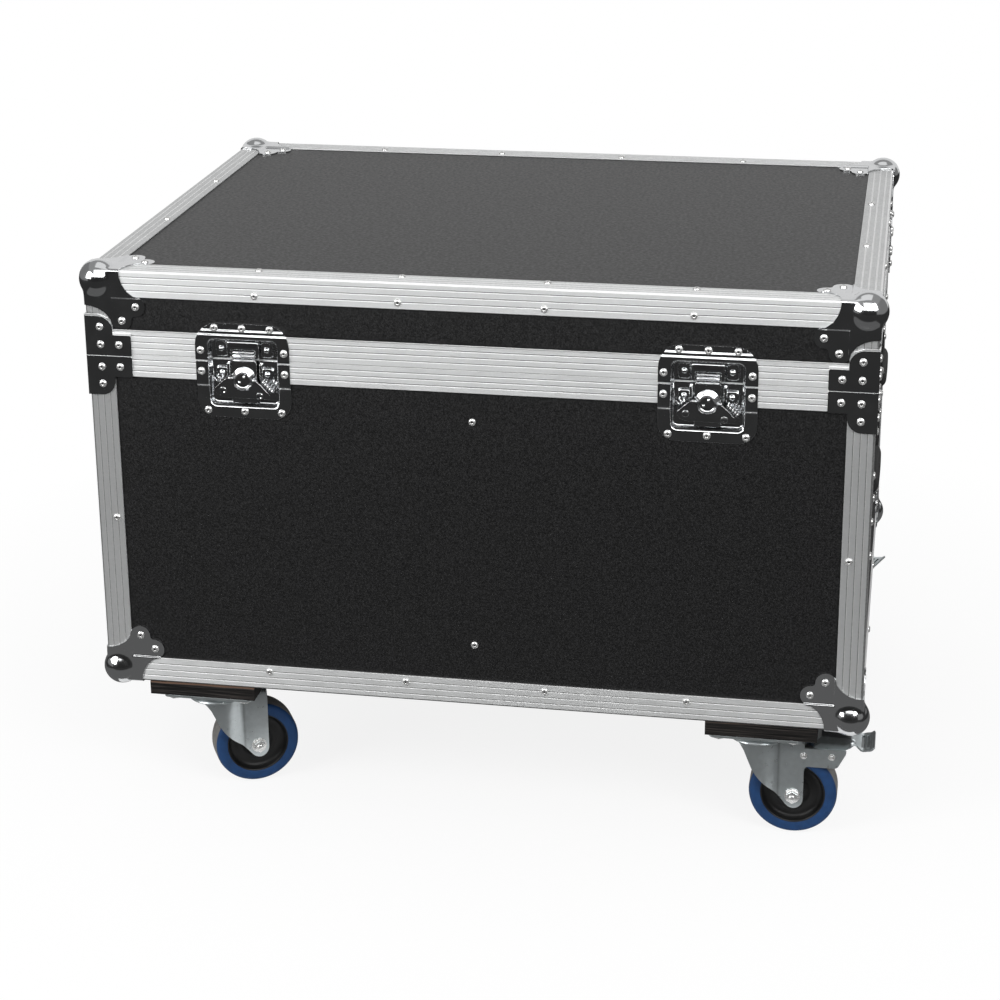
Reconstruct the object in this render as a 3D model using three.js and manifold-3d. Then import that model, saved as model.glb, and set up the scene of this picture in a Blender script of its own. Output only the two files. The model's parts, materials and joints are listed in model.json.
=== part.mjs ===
// Lighting flight case on four swivel castors, with a lift-off lid held by four butterfly latches.
// Units are millimetres, +Z is up, -Y is the front, and the origin is on the ground under the centre.
import * as THREE from 'three';
import { mergeVertices } from 'three/addons/utils/BufferGeometryUtils.js';
import Module from 'manifold-3d';

const wasm = await Module();
wasm.setup();

// Case box
const caseWidth = 868;
const caseDepth = 664;
const caseHeight = 494;
const lidHeight = 95.7; // from the joint of lid and base to the top
const panelThickness = 9;
const panelInset = 2; // panels lie this far inside the faces of the edge angles
const gap = 0.3; // clearance between neighbouring pieces
const overrun = 3; // how far a cutting shape runs past what it cuts

// Edge angles
const angleLeg = 30;
const arrisRadius = 2;
const ribGroovesPerLeg = 3;
const ribGrooveWidth = 1.6;
const ribGrooveDepth = 0.6;

// Tongue and groove sections round the seam
const lidBandHeight = 28;
const baseBandHeight = 26;
const bandGrooves = 3;
const channelWall = 1.5; // inner leg of the channel that holds the panel's edge
const lidChannelLeg = 18;
const baseChannelLeg = 22;
const lidWeb = 3;
const baseWeb = 8.5;
const tongueInset = 5;
const tongueWidth = 2.8;
const tongueHeight = 5;
const tongueClearance = 0.4;

// Corner braces at the seam
const braceThickness = 1.5;
const braceReach = 51;
const braceArm = 24;
const braceColumn = 45.5;
const braceColumnWidth = 30;
const braceRadius = 16;
const braceSetback = 0.5; // from the seam

// Ball corners
const ballRadius = 20.5;
const ballInset = 14; // of the ball's centre from each outer face
const panelCornerClearing = 8.5; // cube taken off each panel's corner, inside the ball
const cornerSteel = 1.2;
const cornerLeg = 43; // along each edge from the corner
const lobeFar = 56; // rivet centre along one edge
const lobeNear = 40; // rivet centre along the other edge
const lobeRadius = 11;

// Butterfly latches
const latchInset = 178; // of a latch's centre from the side of the case
const dishSteel = 1.2;
const flangeWidth = 107;
const dishFlangeHeight = 65.5;
const dishFlangeRadius = 20;
const keeperFlangeHeight = 42.9;
const keeperFlangeRadius = 25;
const recessWidth = 78;
const dishRecessHeight = 52;
const keeperRecessHeight = 24.5;
const recessRadius = 7;
const latchSplit = 0.6; // between the two flanges
const bridgeWidth = 36;
const bridgeBottom = 2;
const bridgeTop = 22;
const bridgeFront = 0.6; // behind the plane of the bands
const bridgeWall = 1.5;
const bridgeSlotWidth = 27;
const bridgeSlotBottom = 4;
const bridgeSlotTop = 12;
const hubDrop = 20.7; // of the hub's centre below the seam
const hubRadius = 10.7;
const hubFront = 4; // in front of the plane of the bands
const hubBack = 2.9; // of the head, behind that plane
const hubBevel = 1.4;
const hubCupRadius = 7.4;
const hubCupDepth = 1.2;
const spindleRadius = 5;
const wingThickness = 1.6;
const wingHalfSpan = 33;
const wingDrop = 20.5;
const wingEarRise = 4.5;
const wingHubClearance = 0.9;
const wingShoulderShare = 0.72; // of the half span, where the ears' curve leaves the top
const wingCornerRadius = 9;
const hookHalfWidth = 14;
const hookNeckHalfWidth = 12.5;
const hookThickness = 1.8;
const hookTravel = 5;
const hookTop = 14;
const hookShoulder = -1; // height of the chamfered shoulders from the seam
const hookChamfer = 3;
const hookTail = 5; // below the spindle's slot
const hookLipCount = 2;
const hookLipHeight = 2;
const hookLipPitch = 5;
const hookLipDepth = 1.5;

// Spring handles
const handleInset = 142; // of a dish's centre from the end of the case
const handleDrop = 120.3; // of the dish's centre below the seam
const handleFlangeWidth = 167;
const handleFlangeHeight = 126;
const handleFlangeRadius = 14;
const handleRecessWidth = 131;
const handleRecessHeight = 90;
const handleRecessRadius = 12;
const handlePivotRise = 32;
const gripDrop = 18; // of the grip's centre below the dish's centre
const gripLength = 108;
const gripHalfHeight = 11;
const gripProud = 6; // in front of the plane of the edge angles
const armThickness = 4.5;
const armHalfWidth = 4.5;
const pivotPinRadius = 2.4;
const pivotPinLength = 4;
const lugThickness = 5;
const lugHalfHeight = 5;

// Castor boards
const boardWidth = 125;
const boardThickness = 18;
const boardInsetSide = 48;
const boardInsetEnd = 4;

// Castors
const castorHeight = 128;
const castorInsetSide = 116;
const castorInsetEnd = 46;
const castorTrail = 42;
const castorPlateLength = 105;
const castorPlateDepth = 84;
const castorPlateThickness = 3;
const castorPlateRadius = 6;
const raceRadius = 33;
const raceHeight = 5;
const raceFlare = 3;
const kingpinRadius = 7;
const kingpinRise = 4;
const crownRadius = 33;
const crownThickness = 3.5;
const legThickness = 3;
const legTailWidth = 12; // from the axle to the straight rear edge of a leg
const legToeRadius = 13;
const legToeShares = [2.6, 3.7]; // start and end of the toe's arc, in quarter turns
const legToeBackShares = [Math.SQRT1_2, 0.8]; // where the leg's front edge runs into the toe
const legFrontShare = 0.9; // of the crown's radius
const axleRadius = 5;
const axleNutRadius = 8.5;
const axleNutThickness = 5.5;
const wheelDiameter = 100;
const wheelWidth = 34;
const wheelLegGap = 2.5;
const hubRimRadius = 35.5;
const hubWebInset = 6;
const hubBossRadius = 12;
const treadRadius = 5;
const castorAngles = { front_left: 28, front_right: 0, back_left: -24, back_right: -20 }; // degrees

// Brakes on the two right-hand castors
const brakePlateReach = 100;
const brakePivotReach = 83;
const brakePivotHeight = 106;
const brakePlateLow = 93;
const brakeTipHeight = 109;
const brakeNotchRadius = 5;
const pedalReach = 131;
const pedalTipWidth = 45;
const pedalNeckWidth = 30;
const pedalThickness = 3;
const pedalHeight = 112;
const pedalLipLength = 14;
const pedalLipRise = 4;
const pedalSlotWidth = 3;
const pedalSlotLength = 30;
const pedalSlotPitch = 6;
const pedalTubeRadius = 5;

// Facets
const curveSteps = 2; // straight steps to a curve, twice as many to an arc
const hiddenSteps = 1;
const pinSegments = 8;
const nutSides = 6;
const ballSegments = 12;
const ballRings = 8;
const hollowSegments = 8;
const hollowRings = 6;
const hubSegments = 14;
const gripSegments = 12;
const castorSegments = 16;
const wheelSegments = 20;

// Places that follow from the sizes above
const caseBottom = castorHeight + boardThickness;
const caseTop = caseBottom + caseHeight;
const seam = caseTop - lidHeight;
const angleThickness = panelInset - gap;
const panelInner = panelInset + panelThickness;
const dishFloor = panelInner - gap - dishSteel;
const bandReach = panelInner + gap + channelWall;
const latchOuter = gap + dishSteel;
const wingBack = -latchOuter - gap; // clear of the flanges, so that it can turn lying flat
const armCentre = dishFloor - gap - armHalfWidth;
const gripCentre = (dishFloor - gap - gripProud) / 2;
const gripHalfDepth = (dishFloor - gap + gripProud) / 2;
const raceLow = castorHeight - castorPlateThickness - raceHeight;
const crownTop = raceLow - gap;
const legInner = wheelWidth / 2 + wheelLegGap;
const legOuter = legInner + legThickness;
const quarterTurn = Math.PI / 2;
const corners = ['back_right', 'back_left', 'front_left', 'front_right']; // anticlockwise from above

// Solids from geometries, and back
function solidFrom(geometry) {
  geometry.deleteAttribute('normal');
  geometry.deleteAttribute('uv');
  const merged = mergeVertices(geometry);
  const triangles = [];
  for (let i = 0; i < merged.index.count; i += 3) {
    const [a, b, c] = merged.index.array.slice(i, i + 3);
    if (a !== b && b !== c && c !== a) triangles.push(a, b, c);
  }
  const mesh = new wasm.Mesh({
    numProp: 3,
    vertProperties: new Float32Array(merged.attributes.position.array),
    triVerts: new Uint32Array(triangles),
  });
  return new wasm.Manifold(mesh);
}

function geometryFrom(solid) {
  const { vertProperties, triVerts } = solid.getMesh();
  const indexed = new THREE.BufferGeometry();
  indexed.setAttribute('position', new THREE.BufferAttribute(vertProperties, 3));
  indexed.setIndex(new THREE.BufferAttribute(triVerts, 1));
  const geometry = indexed.toNonIndexed();
  geometry.computeVertexNormals();
  return geometry;
}

const inOrder = (first, second) => [first, second].sort((a, b) => a - b);
const join = (first, ...rest) => rest.reduce((whole, piece) => whole.add(piece), first);
const cut = (body, ...tools) => tools.reduce((left, tool) => left.subtract(tool), body);

// A box between two corners
function boxGeometry([x0, y0, z0], [x1, y1, z1]) {
  const geometry = new THREE.BoxGeometry(x1 - x0, y1 - y0, z1 - z0);
  return geometry.translate((x0 + x1) / 2, (y0 + y1) / 2, (z0 + z1) / 2);
}
const box = (low, high) => solidFrom(boxGeometry(low, high));

// A flat shape given a thickness from one height to another
function slabGeometry(shape, low, high, curveSegments = curveSteps) {
  const options = { depth: high - low, bevelEnabled: false, curveSegments };
  const geometry = new THREE.ExtrudeGeometry(shape, options);
  return geometry.translate(0, 0, low);
}

// A shape drawn in X and Z, filled from one depth Y to a larger one
function plateGeometry(shape, outer, inner, curveSegments) {
  const geometry = slabGeometry(shape, 0, inner - outer, curveSegments);
  return geometry.rotateX(quarterTurn).translate(0, inner, 0);
}
const plate = (...values) => solidFrom(plateGeometry(...values));

// A rod along X between two places
function rodGeometry(radius, from, to, segments) {
  const geometry = new THREE.CylinderGeometry(radius, radius, to - from, segments);
  return geometry.rotateZ(quarterTurn).translate((from + to) / 2, 0, 0);
}

// A profile of [radius, height] pairs turned about Z, listed anticlockwise with the axis on the left
function turnedGeometry(profile, segments) {
  const points = profile.map(([radius, height]) => new THREE.Vector2(radius, height));
  return new THREE.LatheGeometry(points, segments).rotateX(quarterTurn);
}

// Turns what lies along X, Y and Z to lie along Y, Z and X
const nextAxes = new THREE.Matrix4().set(0, 0, 1, 0, 1, 0, 0, 0, 0, 1, 0, 0, 0, 0, 0, 1);

function roundedRectangle(width, height, radius, middle = 0) {
  const [x, y] = [width / 2, height / 2];
  const shape = new THREE.Shape();
  shape.absarc(x - radius, middle + y - radius, radius, 0, quarterTurn);
  shape.absarc(radius - x, middle + y - radius, radius, quarterTurn, 2 * quarterTurn);
  shape.absarc(radius - x, middle + radius - y, radius, 2 * quarterTurn, 3 * quarterTurn);
  shape.absarc(x - radius, middle + radius - y, radius, 3 * quarterTurn, 4 * quarterTurn);
  return shape;
}

// A rectangle hanging from the seam, or standing on it, with its far corners rounded
function halfOutline(width, start, height, radius, direction) {
  const x = width / 2;
  const far = direction * height;
  const bend = direction * (height - radius);
  const shape = new THREE.Shape();
  shape.moveTo(-x, direction * start);
  shape.lineTo(x, direction * start);
  shape.lineTo(x, bend);
  const turn = direction * quarterTurn;
  shape.absarc(x - radius, bend, radius, 0, turn, direction < 0);
  shape.lineTo(radius - x, far);
  shape.absarc(radius - x, bend, radius, turn, 2 * turn, direction < 0);
  return shape;
}

// Copies a geometry made for the corner at +X +Y to all four upright edges
function atCorners(makeGeometry) {
  return corners.map((corner, turn) => {
    const [x, y] = cornerPlace(corner);
    return solidFrom(makeGeometry().rotateZ(turn * quarterTurn).translate(x, y, 0));
  });
}

function cornerPlace(corner) {
  const across = corner.endsWith('right') ? 1 : -1;
  const along = corner.startsWith('back') ? 1 : -1;
  return [across * caseWidth / 2, along * caseDepth / 2];
}

// A frame round the case: a section of [inset, height] pairs carried round four mitred corners
function frameRing(section) {
  const positions = [];
  for (const corner of corners) {
    const [x, y] = cornerPlace(corner);
    for (const [inset, height] of section) {
      positions.push(x - Math.sign(x) * inset, y - Math.sign(y) * inset, height);
    }
  }
  const count = section.length;
  const index = [];
  for (let turn = 0; turn < corners.length; turn += 1) {
    const [here, there] = [turn * count, ((turn + 1) % corners.length) * count];
    for (let i = 0; i < count; i += 1) {
      const next = (i + 1) % count;
      const [a, b] = [here + i, here + next];
      const [c, d] = [there + next, there + i];
      index.push(a, c, d, a, b, c);
    }
  }
  const geometry = new THREE.BufferGeometry();
  geometry.setAttribute('position', new THREE.Float32BufferAttribute(positions, 3));
  geometry.setIndex(index);
  return solidFrom(geometry);
}

// Places of V grooves along a leg, as [along, depth] pairs
function ribbedLine(length, grooves) {
  const points = [];
  for (let i = 1; i <= grooves; i += 1) {
    const middle = length * i / (grooves + 1);
    const [start, end] = [middle - ribGrooveWidth / 2, middle + ribGrooveWidth / 2];
    points.push([start, 0], [middle, ribGrooveDepth], [end, 0]);
  }
  return points;
}

// Section of an edge angle, as distances from its two outer faces
function angleSection() {
  const grooves = ribbedLine(angleLeg, ribGroovesPerLeg);
  return [
    [angleLeg, 0],
    ...grooves.toReversed(),
    [arrisRadius, 0],
    [0, arrisRadius],
    ...grooves.map(([along, depth]) => [depth, along]),
    [0, angleLeg],
    [angleThickness, angleLeg],
    [angleThickness, angleThickness],
    [angleLeg, angleThickness],
  ];
}

function anglePost(low, high) {
  const points = angleSection().map(([x, y]) => new THREE.Vector2(-x, -y));
  return slabGeometry(new THREE.Shape(points), low, high);
}

// Cubes cleared from the four corners of the lid's top, or of the base's underside, inside the balls
function cornerClearings(height, direction, side) {
  const [low, high] = inOrder(height - direction * side, height + direction * overrun);
  return atCorners(() => boxGeometry([-side, -side, low], [overrun, overrun, high]));
}

function edgeFrame(face, direction, postEnd) {
  const section = angleSection().map(([inset, down]) => [inset, face - direction * down]);
  const ring = frameRing(direction > 0 ? section : section.reverse());
  const postStart = face - direction * (angleLeg - overrun);
  const [low, high] = inOrder(postStart, postEnd);
  const posts = atCorners(() => anglePost(low, high));
  return cut(join(ring, ...posts), ...cornerClearings(face, direction, ballInset));
}

// Panels
function flatPanel(low, face, direction) {
  const [x, y] = [caseWidth / 2 - panelInset, caseDepth / 2 - panelInset];
  const panel = box([-x, -y, low], [x, y, low + panelThickness]);
  return cut(panel, ...cornerClearings(face, direction, panelCornerClearing));
}

function wallRing(low, high) {
  const [x, y] = [caseWidth / 2 - panelInset, caseDepth / 2 - panelInset];
  const outer = box([-x, -y, low], [x, y, high]);
  const [innerX, innerY] = [x - panelThickness, y - panelThickness];
  return cut(outer, box([-innerX, -innerY, low - overrun], [innerX, innerY, high + overrun]));
}

// Openings in the walls and bands behind the latches and handles
function latchOpenings(depth) {
  const x = recessWidth / 2 + dishSteel + gap;
  const low = seam - dishRecessHeight - dishSteel - gap;
  const high = seam + keeperRecessHeight + dishSteel + gap;
  const openings = [];
  for (const side of [-1, 1]) {
    for (const turn of [0, 2]) {
      const middle = side * (caseWidth / 2 - latchInset);
      const opening = boxGeometry([middle - x, -overrun, low], [middle + x, depth, high]);
      opening.translate(0, -caseDepth / 2, 0).rotateZ(turn * quarterTurn);
      openings.push(solidFrom(opening));
    }
  }
  return openings;
}

function handleOpenings() {
  const x = handleRecessWidth / 2 + dishSteel + gap;
  const z = handleRecessHeight / 2 + dishSteel + gap;
  const openings = [];
  for (const side of [-1, 1]) {
    for (const turn of [1, 3]) {
      const middle = side * (caseDepth / 2 - handleInset);
      const height = seam - handleDrop;
      const low = [middle - x, -overrun, height - z];
      const opening = boxGeometry(low, [middle + x, panelInner + overrun, height + z]);
      opening.translate(0, -caseWidth / 2, 0).rotateZ(turn * quarterTurn);
      openings.push(solidFrom(opening));
    }
  }
  return openings;
}

// Tongue or groove section round the seam, with its channel for the panel's edge
function bandSection(direction, bandHeight, web, channelLeg, key) {
  const face = gap / 2;
  const grooves = ribbedLine(bandHeight, bandGrooves).map(([along, depth]) => [depth, along]);
  const section = [
    [0, bandHeight],
    ...grooves.toReversed(),
    [0, face],
    ...key,
    [bandReach, face],
    [bandReach, channelLeg],
    [bandReach - channelWall, channelLeg],
    [bandReach - channelWall, web],
    [angleThickness, web],
    [angleThickness, bandHeight],
  ].map(([inset, away]) => [inset, seam + direction * away]);
  return direction > 0 ? section : section.reverse();
}

const tongueKey = [
  [tongueInset, gap / 2],
  [tongueInset, -tongueHeight],
  [tongueInset + tongueWidth, -tongueHeight],
  [tongueInset + tongueWidth, gap / 2],
];
const grooveKey = [
  [tongueInset - tongueClearance, gap / 2],
  [tongueInset - tongueClearance, tongueHeight + tongueClearance],
  [tongueInset + tongueWidth + tongueClearance, tongueHeight + tongueClearance],
  [tongueInset + tongueWidth + tongueClearance, gap / 2],
];

// One face of a corner brace, on the plane Y = 0 beside the upright edge
function braceFace(direction, side) {
  const wrap = -braceThickness;
  const start = braceSetback * direction;
  const outline = new THREE.Shape();
  outline.moveTo(side * wrap, start);
  outline.lineTo(side * braceReach, start);
  outline.lineTo(side * braceReach, direction * braceArm);
  outline.lineTo(side * braceColumnWidth, direction * braceArm);
  outline.lineTo(side * braceColumnWidth, direction * (braceColumn - braceRadius));
  outline.quadraticCurveTo(
    side * braceColumnWidth, direction * braceColumn,
    side * (braceColumnWidth - braceRadius), direction * braceColumn,
  );
  outline.lineTo(side * wrap, direction * braceColumn);
  const sheet = plate(outline, gap, braceThickness);
  const [x0, x1] = inOrder(side * wrap, side * braceReach);
  const [z0, z1] = inOrder(start, direction * braceArm);
  return join(sheet, box([x0, -angleThickness / 2, z0], [x1, braceThickness, z1]));
}

function cornerBraces(direction) {
  return atCorners(() => {
    const onBack = braceFace(direction, -1);
    const onSide = solidFrom(geometryFrom(braceFace(direction, 1)).rotateZ(-quarterTurn));
    return geometryFrom(join(onBack, onSide)).translate(0, 0, seam);
  });
}

function bandFrame(direction, ...sizes) {
  const ring = cut(frameRing(bandSection(direction, ...sizes)), ...latchOpenings(panelInner));
  return join(ring, ...cornerBraces(direction));
}

// Ball corner, made for the corner where all three faces look along + axes
function cornerOutline() {
  const wrap = -(gap + cornerSteel);
  const shape = new THREE.Shape();
  shape.moveTo(-wrap, -wrap);
  shape.lineTo(-cornerLeg, -wrap);
  shape.lineTo(-cornerLeg, -arrisRadius);
  const side = lobeRadius * Math.SQRT1_2;
  shape.quadraticCurveTo(-cornerLeg, -angleLeg, -lobeFar - side, side - lobeNear);
  shape.absarc(-lobeFar, -lobeNear, lobeRadius, 1.5 * quarterTurn, 3 * quarterTurn);
  shape.quadraticCurveTo(-lobeNear - lobeRadius, -lobeNear - lobeRadius, -lobeNear - lobeRadius, -lobeFar);
  shape.absarc(-lobeNear, -lobeFar, lobeRadius, 2 * quarterTurn, 3.5 * quarterTurn);
  shape.quadraticCurveTo(-angleLeg, -cornerLeg, -arrisRadius, -cornerLeg);
  shape.lineTo(-wrap, -cornerLeg);
  return shape;
}

function cornerPlate() {
  const top = gap + cornerSteel;
  const low = gap - panelInset;
  const sheet = solidFrom(slabGeometry(cornerOutline(), low, top));
  const bandX = box([-angleLeg - gap, -caseDepth, -caseHeight], [caseWidth, caseDepth, gap]);
  const bandY = box([-caseWidth, -angleLeg - gap, -caseHeight], [caseWidth, caseDepth, gap]);
  const step = angleLeg + gap + cornerSteel;
  const pocket = box([-caseWidth, -caseDepth, low + cornerSteel], [-step, -step, caseHeight]);
  return geometryFrom(cut(sheet, bandX, bandY, pocket));
}

function ballCorner() {
  const faces = [cornerPlate()];
  faces.push(faces[0].clone().applyMatrix4(nextAxes));
  faces.push(faces[1].clone().applyMatrix4(nextAxes));
  const plates = join(...faces.map(solidFrom));
  const vertex = box([-ballInset, -ballInset, -ballInset], [overrun, overrun, overrun]);
  const ballAt = (radius, segments, rings) => {
    const ball = new THREE.SphereGeometry(radius, segments, rings);
    return solidFrom(ball.translate(-ballInset, -ballInset, -ballInset));
  };
  const inside = box([-caseWidth, -caseDepth, -caseHeight], [gap, gap, gap]);
  const hollow = cut(inside, cut(vertex, ballAt(ballRadius - cornerSteel, hollowSegments, hollowRings)));
  return cut(join(cut(plates, vertex), ballAt(ballRadius, ballSegments, ballRings)), hollow);
}

// Latch: lid and base halves, drawn with X across, Z from the seam and Y into the case
function latchHalf(direction, flangeHeight, flangeRadius, recessHeight, bandHeight) {
  const start = latchSplit / 2;
  const low = panelInset - gap;
  const flangeOutline = halfOutline(flangeWidth, start, flangeHeight, flangeRadius, direction);
  const sheet = plate(flangeOutline, -latchOuter, low);
  const wide = flangeWidth;
  const span = (from, to) => inOrder(direction * from, direction * to);
  const [over0, over1] = span(-overrun, bandHeight + gap);
  const overBand = box([-wide, -gap, over0], [wide, panelInner, over1]);
  const trayOutline = halfOutline(
    recessWidth + 2 * dishSteel, start, recessHeight + dishSteel, recessRadius + dishSteel, direction,
  );
  const tray = plate(trayOutline, -latchOuter, dishFloor + dishSteel);
  const [past0, past1] = span(bandHeight + gap + dishSteel, flangeHeight + overrun);
  const beyondBand = box([-wide, -latchOuter - overrun, past0], [wide, low - dishSteel, past1]);
  const recessOutline = halfOutline(recessWidth, start - overrun, recessHeight, recessRadius, direction);
  const recess = plate(recessOutline, -latchOuter - overrun, dishFloor);
  return cut(join(cut(sheet, overBand), tray), beyondBand, recess);
}

function latchDish() {
  return latchHalf(-1, dishFlangeHeight, dishFlangeRadius, dishRecessHeight, baseBandHeight);
}

// The lid's half carries a bridge that the hook reaches up behind
function latchKeeper() {
  const half = latchHalf(1, keeperFlangeHeight, keeperFlangeRadius, keeperRecessHeight, lidBandHeight);
  const [x, innerX, slotX] = [bridgeWidth / 2, bridgeWidth / 2 - bridgeWall, bridgeSlotWidth / 2];
  const bridge = box([-x, bridgeFront, bridgeBottom], [x, dishFloor + dishSteel / 2, bridgeTop]);
  const cavityLow = [-innerX, bridgeFront + bridgeWall, bridgeBottom - overrun];
  const cavity = box(cavityLow, [innerX, dishFloor, bridgeTop - bridgeWall]);
  const slot = box([-slotX, bridgeFront - overrun, bridgeSlotBottom], [slotX, dishFloor, bridgeSlotTop]);
  return join(half, cut(bridge, cavity, slot));
}

// Hub: a round head with a cupped face on a spindle that reaches the dish's floor
function latchHub() {
  const profile = [
    [0, gap - dishFloor],
    [spindleRadius, gap - dishFloor],
    [spindleRadius, -hubBack],
    [hubRadius, -hubBack],
    [hubRadius, hubFront - hubBevel],
    [hubRadius - hubBevel, hubFront],
    [hubCupRadius, hubFront - hubCupDepth],
    [0, hubFront - hubCupDepth],
  ];
  return solidFrom(turnedGeometry(profile, hubSegments).rotateX(quarterTurn));
}

// Butterfly wing, drawn about the hub's centre
function latchWing() {
  const inner = hubRadius + wingHubClearance;
  const outline = new THREE.Shape();
  outline.moveTo(inner, wingEarRise);
  outline.quadraticCurveTo(wingShoulderShare * wingHalfSpan, wingEarRise, wingHalfSpan, -wingDrop / 2);
  outline.quadraticCurveTo(wingHalfSpan, -wingDrop, wingHalfSpan - wingCornerRadius, -wingDrop);
  outline.lineTo(wingCornerRadius - wingHalfSpan, -wingDrop);
  outline.quadraticCurveTo(-wingHalfSpan, -wingDrop, -wingHalfSpan, -wingDrop / 2);
  outline.quadraticCurveTo(-wingShoulderShare * wingHalfSpan, wingEarRise, -inner, wingEarRise);
  outline.lineTo(-inner, 0);
  outline.absarc(0, 0, inner, 2 * quarterTurn, 4 * quarterTurn);
  return plate(outline, wingBack - wingThickness, wingBack, 2 * curveSteps);
}

// Hook: a plate with a slot for the spindle and ribbed lips behind the keeper's bridge
function latchHook() {
  const front = hubBack + gap;
  const slotTop = spindleRadius + gap - hubDrop;
  const slotBottom = -hubDrop - spindleRadius - gap - hookTravel;
  const tail = slotBottom - hookTail;
  const outline = new THREE.Shape([
    new THREE.Vector2(-hookHalfWidth, tail),
    new THREE.Vector2(hookHalfWidth, tail),
    new THREE.Vector2(hookHalfWidth, hookShoulder - hookChamfer),
    new THREE.Vector2(hookNeckHalfWidth, hookShoulder),
    new THREE.Vector2(hookNeckHalfWidth, hookTop),
    new THREE.Vector2(-hookNeckHalfWidth, hookTop),
    new THREE.Vector2(-hookNeckHalfWidth, hookShoulder),
    new THREE.Vector2(-hookHalfWidth, hookShoulder - hookChamfer),
  ]);
  const x = spindleRadius + gap;
  const slot = box([-x, front - overrun, slotBottom], [x, front + hookThickness + overrun, slotTop]);
  const lips = [];
  for (let i = 0; i < hookLipCount; i += 1) {
    const low = bridgeSlotBottom + hookLipHeight / 2 + i * hookLipPitch;
    const lip = [hookNeckHalfWidth, front + hookThickness / 2, low + hookLipHeight];
    lips.push(box([-hookNeckHalfWidth, front - hookLipDepth / 2, low], lip));
  }
  return join(cut(plate(outline, front, front + hookThickness), slot), ...lips);
}

// Spring handle, drawn like the latch about the centre of its dish
function handleDish() {
  const low = panelInset - gap;
  const flange = plate(
    roundedRectangle(handleFlangeWidth, handleFlangeHeight, handleFlangeRadius), low - dishSteel, low,
  );
  const grown = 2 * dishSteel;
  const trayOutline = roundedRectangle(
    handleRecessWidth + grown, handleRecessHeight + grown, handleRecessRadius + dishSteel,
  );
  const recessOutline = roundedRectangle(handleRecessWidth, handleRecessHeight, handleRecessRadius);
  const tray = plate(trayOutline, low - dishSteel, dishFloor + dishSteel, hiddenSteps);
  const recess = plate(recessOutline, low - dishSteel - overrun, dishFloor, hiddenSteps);
  const body = cut(join(flange, tray), recess);
  const lugs = [-1, 1].map((side) => {
    const wall = handleRecessWidth / 2;
    const [x0, x1] = inOrder(side * (wall - lugThickness), side * (wall + dishSteel / 2));
    const [z0, z1] = [handlePivotRise - lugHalfHeight, handlePivotRise + lugHalfHeight];
    const lug = box([x0, low, z0], [x1, dishFloor + dishSteel / 2, z1]);
    const bore = rodGeometry(pivotPinRadius + gap, x0 - overrun, x1 + overrun, pinSegments);
    return cut(lug, solidFrom(bore.translate(0, armCentre, handlePivotRise)));
  });
  return join(body, ...lugs);
}

function handleBail() {
  const grip = new THREE.CylinderGeometry(1, 1, gripLength, gripSegments).rotateZ(quarterTurn);
  grip.scale(1, gripHalfDepth, gripHalfHeight).translate(0, gripCentre, -gripDrop);
  const pieces = [solidFrom(grip)];
  for (const side of [-1, 1]) {
    const near = side * (gripLength / 2 - armThickness);
    const [x0, x1] = inOrder(near, side * (gripLength / 2 + gap));
    const outline = new THREE.Shape();
    outline.absarc(armCentre, handlePivotRise, armHalfWidth, 0, 2 * quarterTurn);
    outline.absarc(gripCentre, -gripDrop, armHalfWidth, 2 * quarterTurn, 4 * quarterTurn);
    const arm = slabGeometry(outline, x0, x1).applyMatrix4(nextAxes);
    const pinEnd = side * (handleRecessWidth / 2 - lugThickness + pivotPinLength);
    const [p0, p1] = inOrder(near + side * armThickness / 2, pinEnd);
    const pin = rodGeometry(pivotPinRadius, p0, p1, pinSegments);
    pieces.push(solidFrom(arm), solidFrom(pin.translate(0, armCentre, handlePivotRise)));
  }
  return join(...pieces);
}

// Castor boards, relieved over the plates of the ball corners
function castorBoard(side) {
  const inner = caseWidth / 2 - boardInsetSide - boardWidth;
  const [x0, x1] = inOrder(side * inner, side * (inner + boardWidth));
  const y = caseDepth / 2 - boardInsetEnd;
  const board = box([x0, -y, castorHeight], [x1, y, caseBottom]);
  const reach = lobeFar + lobeRadius + gap;
  const reliefs = [-1, 1].map((end) => {
    const [u0, u1] = inOrder(side * (caseWidth / 2 - reach), side * caseWidth / 2);
    const [v0, v1] = inOrder(end * (caseDepth / 2 - reach), end * caseDepth / 2);
    return box([u0, v0, caseBottom - cornerSteel - 2 * gap], [u1, v1, caseBottom + overrun]);
  });
  return cut(board, ...reliefs);
}

// Castor top plate with the fixed race of the swivel, about the swivel's axis
function castorPlate() {
  const outline = roundedRectangle(castorPlateLength, castorPlateDepth, castorPlateRadius);
  const plateLow = castorHeight - castorPlateThickness;
  const top = solidFrom(slabGeometry(outline, plateLow, castorHeight, hiddenSteps));
  const race = turnedGeometry([
    [0, raceLow],
    [raceRadius, raceLow],
    [raceRadius - raceFlare, plateLow + castorPlateThickness / 2],
    [0, plateLow + castorPlateThickness / 2],
  ], castorSegments);
  const socket = new THREE.CylinderGeometry(1, 1, kingpinRise + gap + overrun, castorSegments);
  socket.scale(kingpinRadius + gap, 1, kingpinRadius + gap).rotateX(quarterTurn);
  socket.translate(0, 0, raceLow + (kingpinRise + gap - overrun) / 2);
  return cut(join(top, solidFrom(race)), solidFrom(socket));
}

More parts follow.
